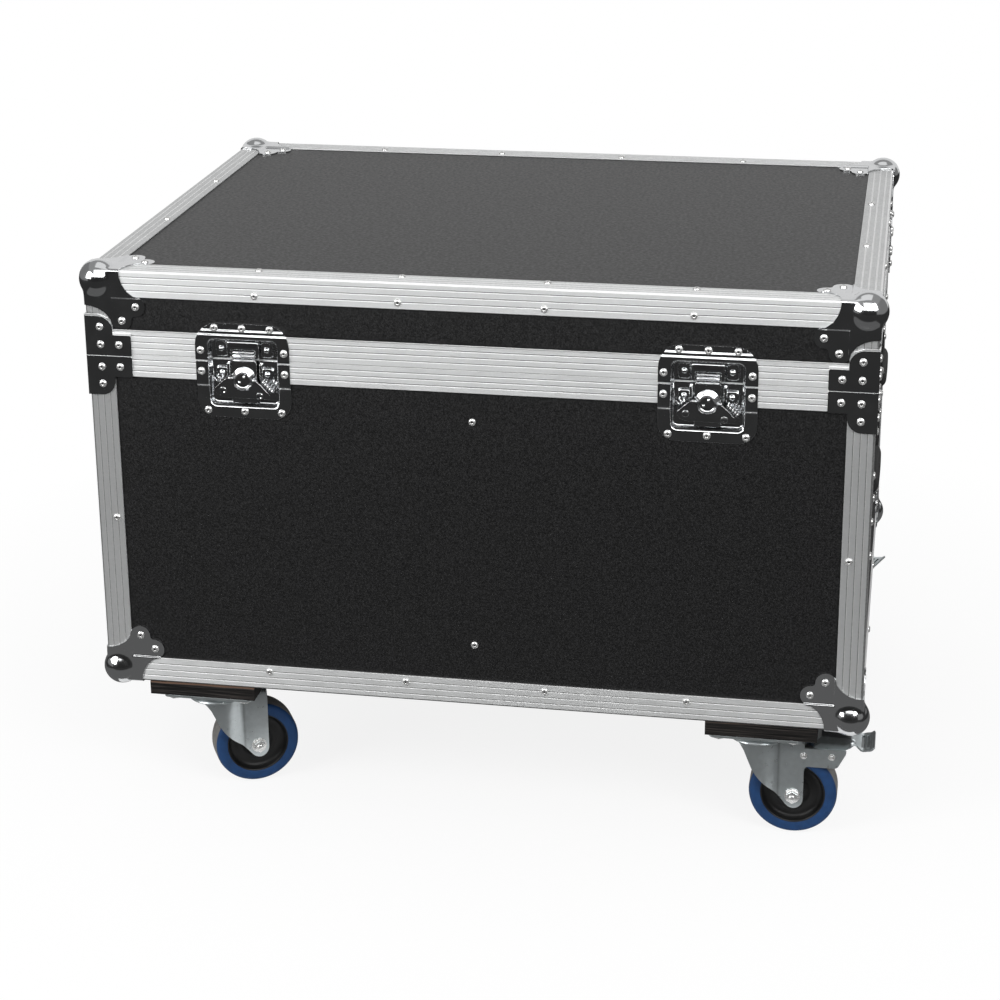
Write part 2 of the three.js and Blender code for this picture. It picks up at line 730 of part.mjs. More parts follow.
// Side of a fork, drawn trailing along +X
function legOutline(braked) {
  const axle = wheelDiameter / 2;
  const rear = castorTrail + legTailWidth;
  const shape = new THREE.Shape();
  shape.moveTo(rear, axle);
  if (braked) {
    shape.lineTo(rear, brakePlateLow - brakeNotchRadius);
    shape.quadraticCurveTo(rear, brakePlateLow, rear + brakeNotchRadius, brakePlateLow);
    shape.lineTo(brakePivotReach + brakeNotchRadius, brakePlateLow);
    shape.lineTo(brakePlateReach, brakeTipHeight);
    shape.lineTo(rear, crownTop - crownThickness / 2);
  } else {
    shape.lineTo(rear, crownTop - legThickness);
    shape.lineTo(rear - legThickness, crownTop - crownThickness / 2);
  }
  const front = -legFrontShare * crownRadius;
  const [toeX, toeZ] = legToeBackShares.map((share) => share * legToeRadius);
  const [arcStart, arcEnd] = legToeShares.map((share) => share * quarterTurn);
  shape.lineTo(front, crownTop - crownThickness / 2);
  shape.lineTo(front, crownTop - 2 * crownThickness);
  shape.quadraticCurveTo(0, axle + legToeRadius, castorTrail - toeX, axle - toeZ);
  shape.absarc(castorTrail, axle, legToeRadius, arcStart, arcEnd);
  return shape;
}

function castorFork(braked) {
  const crown = turnedGeometry([
    [0, crownTop - crownThickness],
    [crownRadius - crownThickness, crownTop - crownThickness],
    [crownRadius, crownTop - crownThickness / 2],
    [crownRadius, crownTop],
    [kingpinRadius, crownTop],
    [kingpinRadius, crownTop + kingpinRise],
    [0, crownTop + kingpinRise],
  ], castorSegments);
  const shoulder = box(
    [0, -legOuter, crownTop - crownThickness],
    [castorTrail + legTailWidth - legThickness, legOuter, crownTop - crownThickness / 2],
  );
  const outline = legOutline(braked);
  const legs = [plate(outline, -legOuter, -legInner), plate(outline, legInner, legOuter)];
  const axle = new THREE.CylinderGeometry(axleRadius, axleRadius, 2 * legOuter, pinSegments);
  const nutLength = axleNutThickness + legThickness / 2;
  const nutCentre = legOuter + axleNutThickness - nutLength / 2;
  const rods = [axle.translate(castorTrail, 0, wheelDiameter / 2)];
  for (const side of [-1, 1]) {
    const nut = new THREE.CylinderGeometry(axleNutRadius, axleNutRadius, nutLength, nutSides);
    rods.push(nut.translate(castorTrail, side * nutCentre, wheelDiameter / 2));
  }
  return join(solidFrom(crown), shoulder, ...legs, ...rods.map(solidFrom));
}

// Wheel: a soft tyre on a dished hub, drawn about its axle along Y
function castorWheel() {
  const rim = wheelDiameter / 2 / Math.cos(Math.PI / wheelSegments);
  const half = wheelWidth / 2;
  const web = half - hubWebInset;
  const bore = axleRadius + gap;
  const side = [
    [bore, half + wheelLegGap - gap],
    [hubBossRadius, half + wheelLegGap - gap],
    [hubBossRadius, web],
    [hubRimRadius, web],
    [hubRimRadius, half],
    [rim - treadRadius, half],
    [rim, half - treadRadius],
  ];
  const profile = [...side, ...side.toReversed().map(([radius, along]) => [radius, -along])];
  const closed = [...profile, profile[0]].reverse();
  const wheel = turnedGeometry(closed, wheelSegments).rotateX(quarterTurn);
  return solidFrom(wheel.rotateY(Math.PI / wheelSegments));
}

// Brake pedal, drawn with the fork
function brakePedal() {
  const low = pedalHeight - pedalThickness / 2;
  const lipStart = pedalReach - pedalLipLength;
  const [neck, tip] = [pedalNeckWidth / 2, pedalTipWidth / 2];
  const tread = new THREE.Shape([
    new THREE.Vector2(brakePivotReach, -neck),
    new THREE.Vector2(brakePlateReach, -neck),
    new THREE.Vector2(lipStart, -tip),
    new THREE.Vector2(pedalReach, -tip),
    new THREE.Vector2(pedalReach, tip),
    new THREE.Vector2(lipStart, tip),
    new THREE.Vector2(brakePlateReach, neck),
    new THREE.Vector2(brakePivotReach, neck),
  ]);
  const sheet = solidFrom(slabGeometry(tread, low, low + pedalThickness));
  const lipTop = low + pedalThickness + pedalLipRise;
  const edge = box([pedalReach - pedalThickness, -tip, low], [pedalReach, tip, lipTop]);
  const slots = [0, 1].map((i) => {
    const x = lipStart + pedalSlotWidth / 2 + i * pedalSlotPitch;
    const slot = [x + pedalSlotWidth, pedalSlotLength / 2, low + pedalThickness + overrun];
    return box([x, -pedalSlotLength / 2, low - overrun], slot);
  });
  const tubeEnd = legInner - gap;
  const tube = rodGeometry(pedalTubeRadius, -tubeEnd, tubeEnd, pinSegments).rotateZ(quarterTurn);
  const cheeks = [-1, 1].map((side) => {
    const [y0, y1] = inOrder(side * neck, side * (neck - pedalThickness));
    const [z0, z1] = [brakePivotHeight - pedalThickness, low + pedalThickness / 2];
    return box([brakePivotReach, y0, z0], [brakePlateReach, y1, z1]);
  });
  const pivot = solidFrom(tube.translate(brakePivotReach, 0, brakePivotHeight));
  return join(cut(join(sheet, edge), ...slots), pivot, ...cheeks);
}

// Finishes
function finish(color, roughness, metalness) {
  return new THREE.MeshStandardMaterial({ color, roughness, metalness });
}

const laminate = finish(0x252525, 0.6, 0);
const aluminium = finish(0xc9cbcd, 0.35, 1);
const chrome = finish(0xd8dade, 0.12, 1);
const zinc = finish(0x9ba3a3, 0.4, 1);
const blackSteel = finish(0x262626, 0.45, 0.4);
const gripRubber = finish(0x161616, 0.7, 0);
const tyreBlue = finish(0x25466f, 0.65, 0);
const boardPaint = finish(0x1d1815, 0.8, 0);

// Assembly
const flightCase = new THREE.Group();

function addMesh(parent, name, solid, material, place = [0, 0, 0], turns = [0, 0, 0]) {
  const mesh = new THREE.Mesh(geometryFrom(solid), material);
  mesh.name = name;
  mesh.position.set(...place);
  mesh.rotation.set(...turns);
  parent.add(mesh);
  return mesh;
}

function addGroup(place, turn) {
  const group = new THREE.Group();
  group.position.set(...place);
  group.rotation.z = turn;
  flightCase.add(group);
  return group;
}

const lid = new THREE.Group();
const base = new THREE.Group();
flightCase.add(lid, base);

const wallLatchOpenings = latchOpenings(panelInner + overrun);
const topPanelLow = caseTop - panelInset - panelThickness;
const floorPanelLow = caseBottom + panelInset;
const lidWallLow = seam + lidWeb + gap;
const baseWallHigh = seam - baseWeb - gap;
const baseWallLow = floorPanelLow + panelThickness + gap;

addMesh(lid, 'lid_top_panel', flatPanel(topPanelLow, caseTop, 1), laminate);
addMesh(lid, 'lid_walls', cut(wallRing(lidWallLow, topPanelLow - gap), ...wallLatchOpenings), laminate);
addMesh(lid, 'lid_edge_frame', edgeFrame(caseTop, 1, seam + lidBandHeight + gap), aluminium);
const tongueFrame = bandFrame(1, lidBandHeight, lidWeb, lidChannelLeg, tongueKey);
addMesh(lid, 'lid_tongue_frame', tongueFrame, aluminium);

const divider = box(
  [-panelThickness / 2, -caseDepth / 2 + panelInner - overrun, baseWallLow],
  [panelThickness / 2, caseDepth / 2 - panelInner + overrun, baseWallHigh - baseChannelLeg],
);
const baseRing = cut(wallRing(baseWallLow, baseWallHigh), ...wallLatchOpenings, ...handleOpenings());
addMesh(base, 'base_floor_panel', flatPanel(floorPanelLow, caseBottom, -1), laminate);
addMesh(base, 'base_walls', join(baseRing, divider), laminate);
addMesh(base, 'base_edge_frame', edgeFrame(caseBottom, -1, seam - baseBandHeight - gap), aluminium);
const grooveFrame = bandFrame(-1, baseBandHeight, baseWeb, baseChannelLeg, grooveKey);
addMesh(base, 'base_groove_frame', grooveFrame, aluminium);

const ballCornerSolid = ballCorner();
corners.forEach((name, turn) => {
  const [x, y] = cornerPlace(name);
  const onTop = [0, 0, turn * quarterTurn];
  addMesh(lid, `lid_ball_corner_${name}`, ballCornerSolid, chrome, [x, y, caseTop], onTop);
  const underneath = [2 * quarterTurn, 0, (3 - turn) * quarterTurn];
  addMesh(base, `base_ball_corner_${name}`, ballCornerSolid, chrome, [x, y, caseBottom], underneath);
});

// Each latch stands in a group with its origin on the seam, in the plane of the bands
const latchSolids = {
  dish: latchDish(),
  keeper: latchKeeper(),
  hub: latchHub(),
  wing: latchWing(),
  hook: latchHook(),
};
for (const [end, turn] of [['front', 0], ['back', 2]]) {
  for (const [side, sign] of [['left', -1], ['right', 1]]) {
    const facing = turn === 0 ? -1 : 1;
    const place = [sign * (caseWidth / 2 - latchInset), facing * caseDepth / 2, seam];
    const group = addGroup(place, turn * quarterTurn);
    const name = (piece) => `latch_${piece}_${end}_${side}`;
    addMesh(group, name('dish'), latchSolids.dish, chrome);
    addMesh(group, name('keeper'), latchSolids.keeper, chrome);
    addMesh(group, name('hub'), latchSolids.hub, chrome, [0, 0, -hubDrop]);
    addMesh(group, name('wing'), latchSolids.wing, chrome, [0, 0, -hubDrop]);
    addMesh(group, name('hook'), latchSolids.hook, chrome);
  }
}

const handlePieces = { dish: handleDish(), bail: handleBail() };
for (const [side, turn] of [['right', 1], ['left', 3]]) {
  for (const [end, sign] of [['front', -1], ['back', 1]]) {
    const out = side === 'right' ? 1 : -1;
    const place = [out * caseWidth / 2, sign * (caseDepth / 2 - handleInset), seam - handleDrop];
    const group = addGroup(place, turn * quarterTurn);
    addMesh(group, `handle_dish_${side}_${end}`, handlePieces.dish, blackSteel);
    addMesh(group, `handle_bail_${side}_${end}`, handlePieces.bail, gripRubber);
  }
}

const castorPieces = { plate: castorPlate(), fork: castorFork(false), brakedFork: castorFork(true) };
const wheelSolid = castorWheel();
const pedalSolid = brakePedal();
addMesh(base, 'castor_board_left', castorBoard(-1), boardPaint);
addMesh(base, 'castor_board_right', castorBoard(1), boardPaint);
corners.forEach((name) => {
  const [x, y] = cornerPlace(name);
  const place = [x - Math.sign(x) * castorInsetSide, y - Math.sign(y) * castorInsetEnd, 0];
  const braked = name.endsWith('right');
  addMesh(base, `castor_plate_${name}`, castorPieces.plate, zinc, place);
  const swivel = addGroup(place, THREE.MathUtils.degToRad(castorAngles[name]));
  addMesh(swivel, `castor_fork_${name}`, braked ? castorPieces.brakedFork : castorPieces.fork, zinc);
  addMesh(swivel, `castor_wheel_${name}`, wheelSolid, tyreBlue, [castorTrail, 0, wheelDiameter / 2]);
  if (braked) addMesh(swivel, `brake_pedal_${name}`, pedalSolid, zinc);
});

export default flightCase;
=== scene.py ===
import json
import math

import bmesh
import bpy
from mathutils import Matrix, Vector


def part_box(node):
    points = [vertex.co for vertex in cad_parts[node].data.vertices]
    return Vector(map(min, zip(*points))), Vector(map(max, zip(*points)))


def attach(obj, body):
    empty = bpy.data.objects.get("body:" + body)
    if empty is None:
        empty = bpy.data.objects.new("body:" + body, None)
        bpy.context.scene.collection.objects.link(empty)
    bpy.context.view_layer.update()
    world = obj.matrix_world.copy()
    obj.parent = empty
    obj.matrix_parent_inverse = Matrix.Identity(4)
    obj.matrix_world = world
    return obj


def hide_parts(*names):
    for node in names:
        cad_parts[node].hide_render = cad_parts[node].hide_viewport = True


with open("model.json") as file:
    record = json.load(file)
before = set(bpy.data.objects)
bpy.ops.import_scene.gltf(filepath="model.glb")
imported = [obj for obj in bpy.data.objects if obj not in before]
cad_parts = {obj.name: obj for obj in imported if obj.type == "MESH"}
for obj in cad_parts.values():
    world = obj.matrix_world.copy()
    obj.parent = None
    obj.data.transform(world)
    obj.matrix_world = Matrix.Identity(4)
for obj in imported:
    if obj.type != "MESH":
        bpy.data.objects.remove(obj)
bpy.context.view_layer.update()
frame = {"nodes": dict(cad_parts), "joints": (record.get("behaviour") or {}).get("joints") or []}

bl_info = {
    "name": "Lighting flight case",
    "version": (1, 0, 0),
    "blender": (4, 5, 0),
    "location": "View3D > Sidebar > Flight Case",
    "description": "Dresses a lighting flight case: fittings, rivets and finishes around its solids",
    "category": "Object",
}

# Places read from the solids, in metres
CASE_LOW, CASE_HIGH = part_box("base_edge_frame")[0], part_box("lid_edge_frame")[1]
MIDDLE = (CASE_LOW + CASE_HIGH) / 2
SEAM = (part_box("base_groove_frame")[1].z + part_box("lid_tongue_frame")[0].z) / 2
FACE = {
    "left": CASE_LOW.x, "right": CASE_HIGH.x, "front": CASE_LOW.y, "back": CASE_HIGH.y,
    "base": CASE_LOW.z, "lid": CASE_HIGH.z,
}
JOINTS = {joint["name"]: joint for joint in frame["joints"]}

MM = 0.001
CORNERS = [(x, y) for y in ("front", "back") for x in ("left", "right")]
SIDES = {
    "front": ((1, 0, 0), (0, 0, 1), (0, -1, 0)),
    "back": ((-1, 0, 0), (0, 0, 1), (0, 1, 0)),
    "right": ((0, 1, 0), (0, 0, 1), (1, 0, 0)),
    "left": ((0, -1, 0), (0, 0, 1), (-1, 0, 0)),
    "top": ((1, 0, 0), (0, 1, 0), (0, 0, 1)),
    "bottom": ((1, 0, 0), (0, -1, 0), (0, 0, -1)),
}
UP = {"lid": 1, "base": -1}


# Frames of reference
def facing(side, origin):
    """Matrix from millimetres across, up and out of a side to metres in the row frame."""
    axes = Matrix(SIDES[side]).transposed().to_4x4()
    return Matrix.Translation(origin) @ axes @ Matrix.Scale(MM, 4)


def corner_frame(body, across, along, height):
    """Matrix from millimetres out of the three faces at a body's corner, to metres in the row frame."""
    x, y = FACE[across], FACE[along]
    outward = (math.copysign(MM, x), math.copysign(MM, y), math.copysign(MM, UP[body]), 1)
    return Matrix.Translation((x, y, height)) @ Matrix.Diagonal(outward)


def latch_frame(along, across):
    low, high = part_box(f"latch_hub_{along}_{across}")
    return facing(along, ((low.x + high.x) / 2, FACE[along], SEAM))


def hub_frame(along, across):
    return latch_frame(along, across) @ Matrix.Translation((0, HUB_DROP, 0))


def handle_frame(side, along):
    low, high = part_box(f"handle_dish_{side}_{along}")
    return facing(side, (FACE[side], (low.y + high.y) / 2, (low.z + high.z) / 2))


def castor_frame(tag, trailing=True):
    """Millimetres under a castor's swivel, turned towards its wheel if trailing."""
    swivel = Vector(JOINTS[f"castor_swivel_{tag}"]["pos_m"])
    trail = Vector(JOINTS[f"wheel_roll_{tag}"]["pos_m"]) - swivel
    turn = Matrix.Rotation(math.atan2(trail.y, trail.x) if trailing else 0.0, 4, "Z")
    return Matrix.Translation((swivel.x, swivel.y, 0)) @ turn @ Matrix.Scale(MM, 4)


def slope(value, start, end):
    """Straight rise from 0 at start to 1 at end."""
    return min(max((value - start) / (end - start), 0.0), 1.0)


def ramp(value, start, end):
    """Smooth step from 0 at start to 1 at end."""
    share = slope(value, start, end)
    return share * share * (3 - 2 * share)


# Building blocks, in millimetres
def all_of(bm):
    return bm.verts[:] + bm.edges[:] + bm.faces[:]


def verts_of(made):
    """The vertices among what a mesh operator has made."""
    return [part for part in made["geom"] if isinstance(part, bmesh.types.BMVert)]


def weld(bm, distance):
    bmesh.ops.remove_doubles(bm, verts=bm.verts, dist=distance)


def move(bm, matrix):
    bmesh.ops.transform(bm, matrix=matrix, verts=bm.verts)


def polygon(bm, points, w=0.0):
    return bm.faces.new([bm.verts.new((u, v, w)) for u, v in points])


def bevel_corner(bm, corner, radius, segments=6):
    bmesh.ops.bevel(
        bm, geom=[corner], offset=radius, offset_type="OFFSET", segments=segments,
        profile=0.5, affect="VERTICES", material=-1, clamp_overlap=False,
    )


def round_corner(bm, place, radius, segments=6):
    """Rounds the corner of flat faces that lies at a place."""
    bevel_corner(bm, min(bm.verts, key=lambda vert: (vert.co - Vector(place)).length), radius, segments)


def rounded_rectangle(bm, low, high, radii, w):
    """A flat face between two corners, with a radius for each of its corners, anticlockwise from the lowest."""
    places = [(low[0], low[1]), (high[0], low[1]), (high[0], high[1]), (low[0], high[1])]
    corners = [bm.verts.new((u, v, w)) for u, v in places]
    bm.faces.new(corners)
    others = set(bm.verts) - set(corners)
    for corner, radius in zip(corners, radii):
        bevel_corner(bm, corner, radius)
    return next(face for face in bm.faces if not others & set(face.verts))


def loft(bm, rings, floor=False, closed=False):
    """Walls through rounded rectangles. A floor fills the last, and closed walls run back to the first."""
    loops = []
    for low, high, radii, w in rings:
        face = rounded_rectangle(bm, low, high, radii, w)
        loops.append(face.edges[:])
        if not (floor and len(loops) == len(rings)):
            bmesh.ops.delete(bm, geom=[face], context="FACES_ONLY")
    pairs = list(zip(loops, loops[1:]))
    if closed:
        pairs.append((loops[-1], loops[0]))
    for here, there in pairs:
        bmesh.ops.bridge_loops(bm, edges=here + there)


def add_block(bm, rings):
    """A closed block through rounded rectangles, from its bottom up."""
    rounded_rectangle(bm, *rings[0])
    loft(bm, rings, floor=True)


def grown(ring, by, w):
    """A rounded rectangle larger all round than another, at another depth."""
    low, high, radii, _ = ring
    low = (low[0] - by, low[1] - by)
    high = (high[0] + by, high[1] + by)
    return low, high, [radius + by for radius in radii], w


def stepped(ring, steps):
    """Rounded rectangles grown from one, by steps of size at given depths."""
    return [grown(ring, by, w) for by, w in steps]


def slice_faces(bm, axis, places):
    """Cuts every face along planes across one axis."""
    normal = Vector((0, 0, 0))
    normal[axis] = 1
    for place in places:
        bmesh.ops.bisect_plane(bm, geom=all_of(bm), dist=0.0001, plane_co=normal * place, plane_no=normal)


def thicken(bm, thickness):
    bmesh.ops.solidify(bm, geom=bm.faces[:], thickness=thickness)


def raise_faces(bm, faces, height):
    """Gives flat faces a thickness along W, as closed slabs."""
    made = bmesh.ops.extrude_face_region(bm, geom=faces, use_keep_orig=True)
    bmesh.ops.translate(bm, vec=(0, 0, height), verts=verts_of(made))


def repeat_turned(bm, matrix):
    """Adds a copy of all that is drawn so far, moved by a matrix."""
    made = bmesh.ops.duplicate(bm, geom=all_of(bm))
    bmesh.ops.transform(bm, matrix=matrix, verts=verts_of(made))


def face_outwards(bm, direction):
    """Turns an open shell's faces so that they look along a direction."""
    bmesh.ops.recalc_face_normals(bm, faces=bm.faces)
    if sum(face.normal.dot(Vector(direction)) * face.calc_area() for face in bm.faces) < 0:
        bmesh.ops.reverse_faces(bm, faces=bm.faces)


def turned(bm, profile, steps=16):
    """Spins a chain of (radius, height) points about W."""
    verts = [bm.verts.new((radius, 0, height)) for radius, height in profile]
    edges = [bm.edges.new(pair) for pair in zip(verts, verts[1:])]
    before = set(bm.verts) - set(verts)
    bmesh.ops.spin(
        bm, geom=verts + edges, cent=(0, 0, 0), axis=(0, 0, 1), angle=2 * math.pi,
        steps=steps, use_merge=True,
    )
    made = [vert for vert in bm.verts if vert not in before]
    bmesh.ops.remove_doubles(bm, verts=made, dist=0.0005)


def rod(bm, path, radius, segments=12):
    """Sweeps a round rod along points, with flat ends."""
    points = [Vector(place) for place in path]
    ring = bmesh.ops.create_circle(bm, cap_ends=True, segments=segments, radius=radius)["verts"]
    edges = {edge for vert in ring for edge in vert.link_edges}
    last = Matrix.Identity(4)
    for index, point in enumerate(points):
        ahead, behind = points[min(index + 1, len(points) - 1)], points[max(index - 1, 0)]
        lie = Matrix.Translation(point) @ (ahead - behind).to_track_quat("Z", "X").to_matrix().to_4x4()
        if index:
            ring = verts_of(bmesh.ops.extrude_edge_only(bm, edges=list(edges)))
            edges = {edge for vert in ring for edge in vert.link_edges if edge.other_vert(vert) in ring}
        bmesh.ops.transform(bm, matrix=lie @ last.inverted(), verts=ring)
        last = lie
    bmesh.ops.holes_fill(bm, edges=list(edges), sides=0)


def stamp(bm, mesh, matrix):
    """Adds a copy of a mesh, moved by a matrix."""
    before = set(bm.verts)
    bm.from_mesh(mesh)
    bmesh.ops.transform(bm, matrix=matrix, verts=[vert for vert in bm.verts if vert not in before])


def stamp_bmesh(bm, other, matrix):
    """Adds what another bmesh holds, moved by a matrix, and frees it."""
    mesh = bpy.data.meshes.new("stamp")
    other.to_mesh(mesh)
    other.free()
    stamp(bm, mesh, matrix)
    bpy.data.meshes.remove(mesh)


def stamp_turned(bm, profile, steps, matrix, material=0):
    """Adds a turned shape, moved by a matrix."""
    part = bmesh.new()
    turned(part, profile, steps)
    for face in part.faces:
        face.material_index = material
    stamp_bmesh(bm, part, matrix)


def mesh_object(bm, name, materials):
    """Turns a bmesh into an object at the origin, and frees it."""
    mesh = bpy.data.meshes.new(name)
    bm.to_mesh(mesh)
    bm.free()
    for material in materials:
        mesh.materials.append(material)
    made = bpy.data.objects.new(name, mesh)
    bpy.context.scene.collection.objects.link(made)
    return made


def piece(bm, name, body, slot, place=None, replaced=(), edge=0.0, sharp=35, materials=None):
    """Finishes a bmesh as a named piece in the row frame that rides on a body."""
    if place is not None:
        weld(bm, 0.0002)
        move(bm, place)
    bmesh.ops.recalc_face_normals(bm, faces=bm.faces)
    made = mesh_object(bm, name, [finishes[material] for material in materials or (slot,)])
    made.data.shade_smooth()
    if edge:
        rounding = made.modifiers.new("Rounded edges", "BEVEL")
        rounding.width = edge * MM
        rounding.segments = 2
        rounding.limit_method = "ANGLE"
        rounding.angle_limit = math.radians(40)
        rounding.harden_normals = True
    else:
        made.data.set_sharp_from_angle(angle=math.radians(sharp))
    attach(made, body)
    if replaced:
        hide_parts(*replaced)


# Finishes
finishes = {}


def add_node(material, kind, inputs=None, **settings):
    """Adds a node with its settings, and sets or links its inputs."""
    node = material.node_tree.nodes.new(kind)
    for key, value in settings.items():
        setattr(node, key, value)
    for key, value in (inputs or {}).items():
        if isinstance(value, bpy.types.NodeSocket):
            material.node_tree.links.new(value, node.inputs[key])
        else:
            node.inputs[key].default_value = value
    return node


def calc(material, operation, first, second):
    """What a math node makes of two values."""
    return add_node(material, "ShaderNodeMath", {0: first, 1: second}, operation=operation).outputs[0]


def vector_calc(material, operation, *vectors):
    """What a vector math node makes of its vectors."""
    inputs = dict(enumerate(vectors))
    return add_node(material, "ShaderNodeVectorMath", inputs, operation=operation).outputs["Vector"]


def remapped(material, value, start, end, low=0.0, high=1.0):
    """A value held between start and end, and spread from low to high."""
    inputs = {"Value": value, "From Min": start, "From Max": end, "To Min": low, "To Max": high}
    return add_node(material, "ShaderNodeMapRange", inputs).outputs["Result"]


def between(material, value, low, high):
    """1 where a value lies between two limits, else 0."""
    over = calc(material, "GREATER_THAN", value, low)
    return calc(material, "MULTIPLY", over, calc(material, "LESS_THAN", value, high))


def vector_parts(material, vector):
    return add_node(material, "ShaderNodeSeparateXYZ", {"Vector": vector}).outputs


def object_place(material):
    return add_node(material, "ShaderNodeTexCoord").outputs["Object"]


def object_noise(material, scale, detail=2.0, stretch=(1, 1, 1)):
    """Noise on object coordinates, drawn out along an axis where stretch is small."""
    mapped = add_node(material, "ShaderNodeMapping", {"Vector": object_place(material), "Scale": stretch})
    noise = {"Vector": mapped.outputs["Vector"], "Scale": scale, "Detail": detail}
    return add_node(material, "ShaderNodeTexNoise", noise).outputs["Fac"]


def finish(name, colour, roughness, metallic=0.0, gloss=0.5):
    """A finish of one plain colour, ready for its texture."""
    material = bpy.data.materials.new(name)
    material.use_nodes = True
    shader = material.node_tree.nodes["Principled BSDF"]
    shader.inputs["Base Color"].default_value = (*colour, 1)
    shader.inputs["Roughness"].default_value = roughness
    shader.inputs["Metallic"].default_value = metallic
    shader.inputs["Specular IOR Level"].default_value = gloss
    material.diffuse_color = (*colour, 1)
    finishes[name] = material
    return material, shader


def vary_colour(material, shader, fac, stops):
    """Drives the base colour from a texture, through (place, colour) stops."""
    colours = add_node(material, "ShaderNodeValToRGB", {"Fac": fac})
    elements = colours.color_ramp.elements
    elements[0].position, elements[0].color = stops[0][0], (*stops[0][1], 1)
    elements[1].position, elements[1].color = stops[-1][0], (*stops[-1][1], 1)
    for place, colour in stops[1:-1]:
        elements.new(place).color = (*colour, 1)
    material.node_tree.links.new(colours.outputs["Color"], shader.inputs["Base Color"])


def vary_roughness(material, shader, fac, low, high):
    spread = remapped(material, fac, 0.3, 0.7, low, high)
    material.node_tree.links.new(spread, shader.inputs["Roughness"])


def add_bump(material, shader, fac, strength, depth, normal=None):
    """Bumps the surface by a texture, to a depth in millimetres."""
    values = {"Height": fac, "Strength": strength, "Distance": depth * MM}
    if normal:
        values["Normal"] = normal
    bump = add_node(material, "ShaderNodeBump", values)
    material.node_tree.links.new(bump.outputs["Normal"], shader.inputs["Normal"])


def shade(colour, share):
    return tuple(value * share for value in colour)


def shades(colour, *stops):
    """Stops of one colour, each at a share of its strength."""
    return [(place, shade(colour, share)) for place, share in stops]


# Reach of the edge angles over a face, and of the seam's sections below and above the seam
ANGLE_REACH = 0.031
BASE_BAND = 0.027
LID_BAND = 0.029


def drawn_tangent(material):
    """Direction across the drawing lines: sections run upright in the posts, else along the nearest edge."""
    place = vector_parts(material, object_place(material))
    in_base = between(material, place["Z"], CASE_LOW.z + ANGLE_REACH, SEAM - BASE_BAND)
    in_lid = between(material, place["Z"], SEAM + LID_BAND, CASE_HIGH.z - ANGLE_REACH)
    upright = calc(material, "ADD", in_base, in_lid)
    front = between(material, place["Y"], CASE_LOW.y + ANGLE_REACH, CASE_HIGH.y - ANGLE_REACH)
    level = calc(material, "SUBTRACT", 1.0, upright)
    along_y = calc(material, "MULTIPLY", front, level)
    along_x = calc(material, "SUBTRACT", level, along_y)
    run = add_node(material, "ShaderNodeCombineXYZ", {"X": along_x, "Y": along_y, "Z": upright}).outputs[0]
    normal = add_node(material, "ShaderNodeNewGeometry").outputs["Normal"]
    return vector_calc(material, "CROSS_PRODUCT", normal, run)


def painted_light_by_normal(material, normal):
    """Painted light and shade by which way the surface looks: below 0, painted shade, where a rounded groove looks down
    or away from the middle, above 0, painted highlight, where it looks up or back.
    """
    parts = vector_parts(material, normal)
    level = vector_parts(material, vector_calc(material, "ABSOLUTE", normal))
    widest = calc(material, "MAXIMUM", calc(material, "MAXIMUM", level["X"], level["Y"]), level["Z"])
    # Slanted groove walls get a painted highlight
    wall = remapped(material, widest, 0.99, 0.86, 0.0, 0.36)
    place = object_place(material)
    out = vector_parts(material, vector_calc(material, "MULTIPLY", normal, vector_calc(material, "SIGN", place)))
    out = remapped(material, calc(material, "MINIMUM", out["X"], out["Y"]), 0.1, 0.5, 0.0, 0.65)
    under = remapped(material, parts["Z"], -0.1, -0.5, 0.0, 0.95)
    height = vector_parts(material, place)["Z"]
    # Upward faces get a painted highlight low down and painted shade along the top of the lid
    top = remapped(material, height, CASE_HIGH.z - 0.01, CASE_HIGH.z - 0.005, -0.36, 0.15)
    upper = remapped(material, parts["Z"], 0.85, 1.0, 0.0, top)
    dark = calc(material, "ADD", calc(material, "MAXIMUM", under, out), upper)
    return calc(material, "SUBTRACT", wall, dark)


def make_aluminium(colour):
    """Drawn aluminium: brushed along its sections, with painted shade in its grooves and painted highlights on their
    walls, up to white.
    """
    material, shader = finish("aluminium", colour, 0.5, 0.75)
    brushed = object_noise(material, 420, 4)
    rounded = add_node(material, "ShaderNodeBevel", {"Radius": 0.0008}, samples=8).outputs["Normal"]
    # Brushed grain plus the painted light and shade of the grooves drive the colour; the near-black low stop is painted
    # shade and the white top stop a painted highlight
    colour_drive = calc(material, "ADD", remapped(material, brushed, 0.0, 1.0, 0.42, 0.62), painted_light_by_normal(material, rounded))
    stops = shades(colour, (0.1, 0.12), (0.42, 0.93), (0.62, 1.03))
    vary_colour(material, shader, colour_drive, stops + [(0.9, (1, 1, 1))])
    vary_roughness(material, shader, object_noise(material, 60), 0.45, 0.53)
    shader.inputs["Anisotropic"].default_value = 0.85
    material.node_tree.links.new(drawn_tangent(material), shader.inputs["Tangent"])
    add_bump(material, shader, brushed, 0.08, 0.05, rounded)


def make_zinc(colour):
    """Zinc plating, made darker (painted shade) or lighter (painted highlight) where a piece's fold attribute says so.
    """
    material, shader = finish("zinc", colour, 0.25, 0.9)
    spangle = object_noise(material, 140, 3)
    fold = add_node(material, "ShaderNodeAttribute", attribute_name="fold").outputs["Fac"]
    # Spangle noise plus the fold attribute's painted light and shade drive the colour; the brightest stop is a painted
    # highlight
    colour_drive = calc(material, "ADD", remapped(material, spangle, 0.0, 1.0, 0.42, 0.58), fold)
    vary_colour(material, shader, colour_drive, shades(colour, (0.1, 0.3), (0.44, 0.95), (0.56, 1.05), (0.9, 1.75)))
    vary_roughness(material, shader, spangle, 0.27, 0.34)
    add_bump(material, shader, object_noise(material, 420, 2), 0.06, 0.05)


BARE_WOOD = (0.12, 0.07, 0.047)


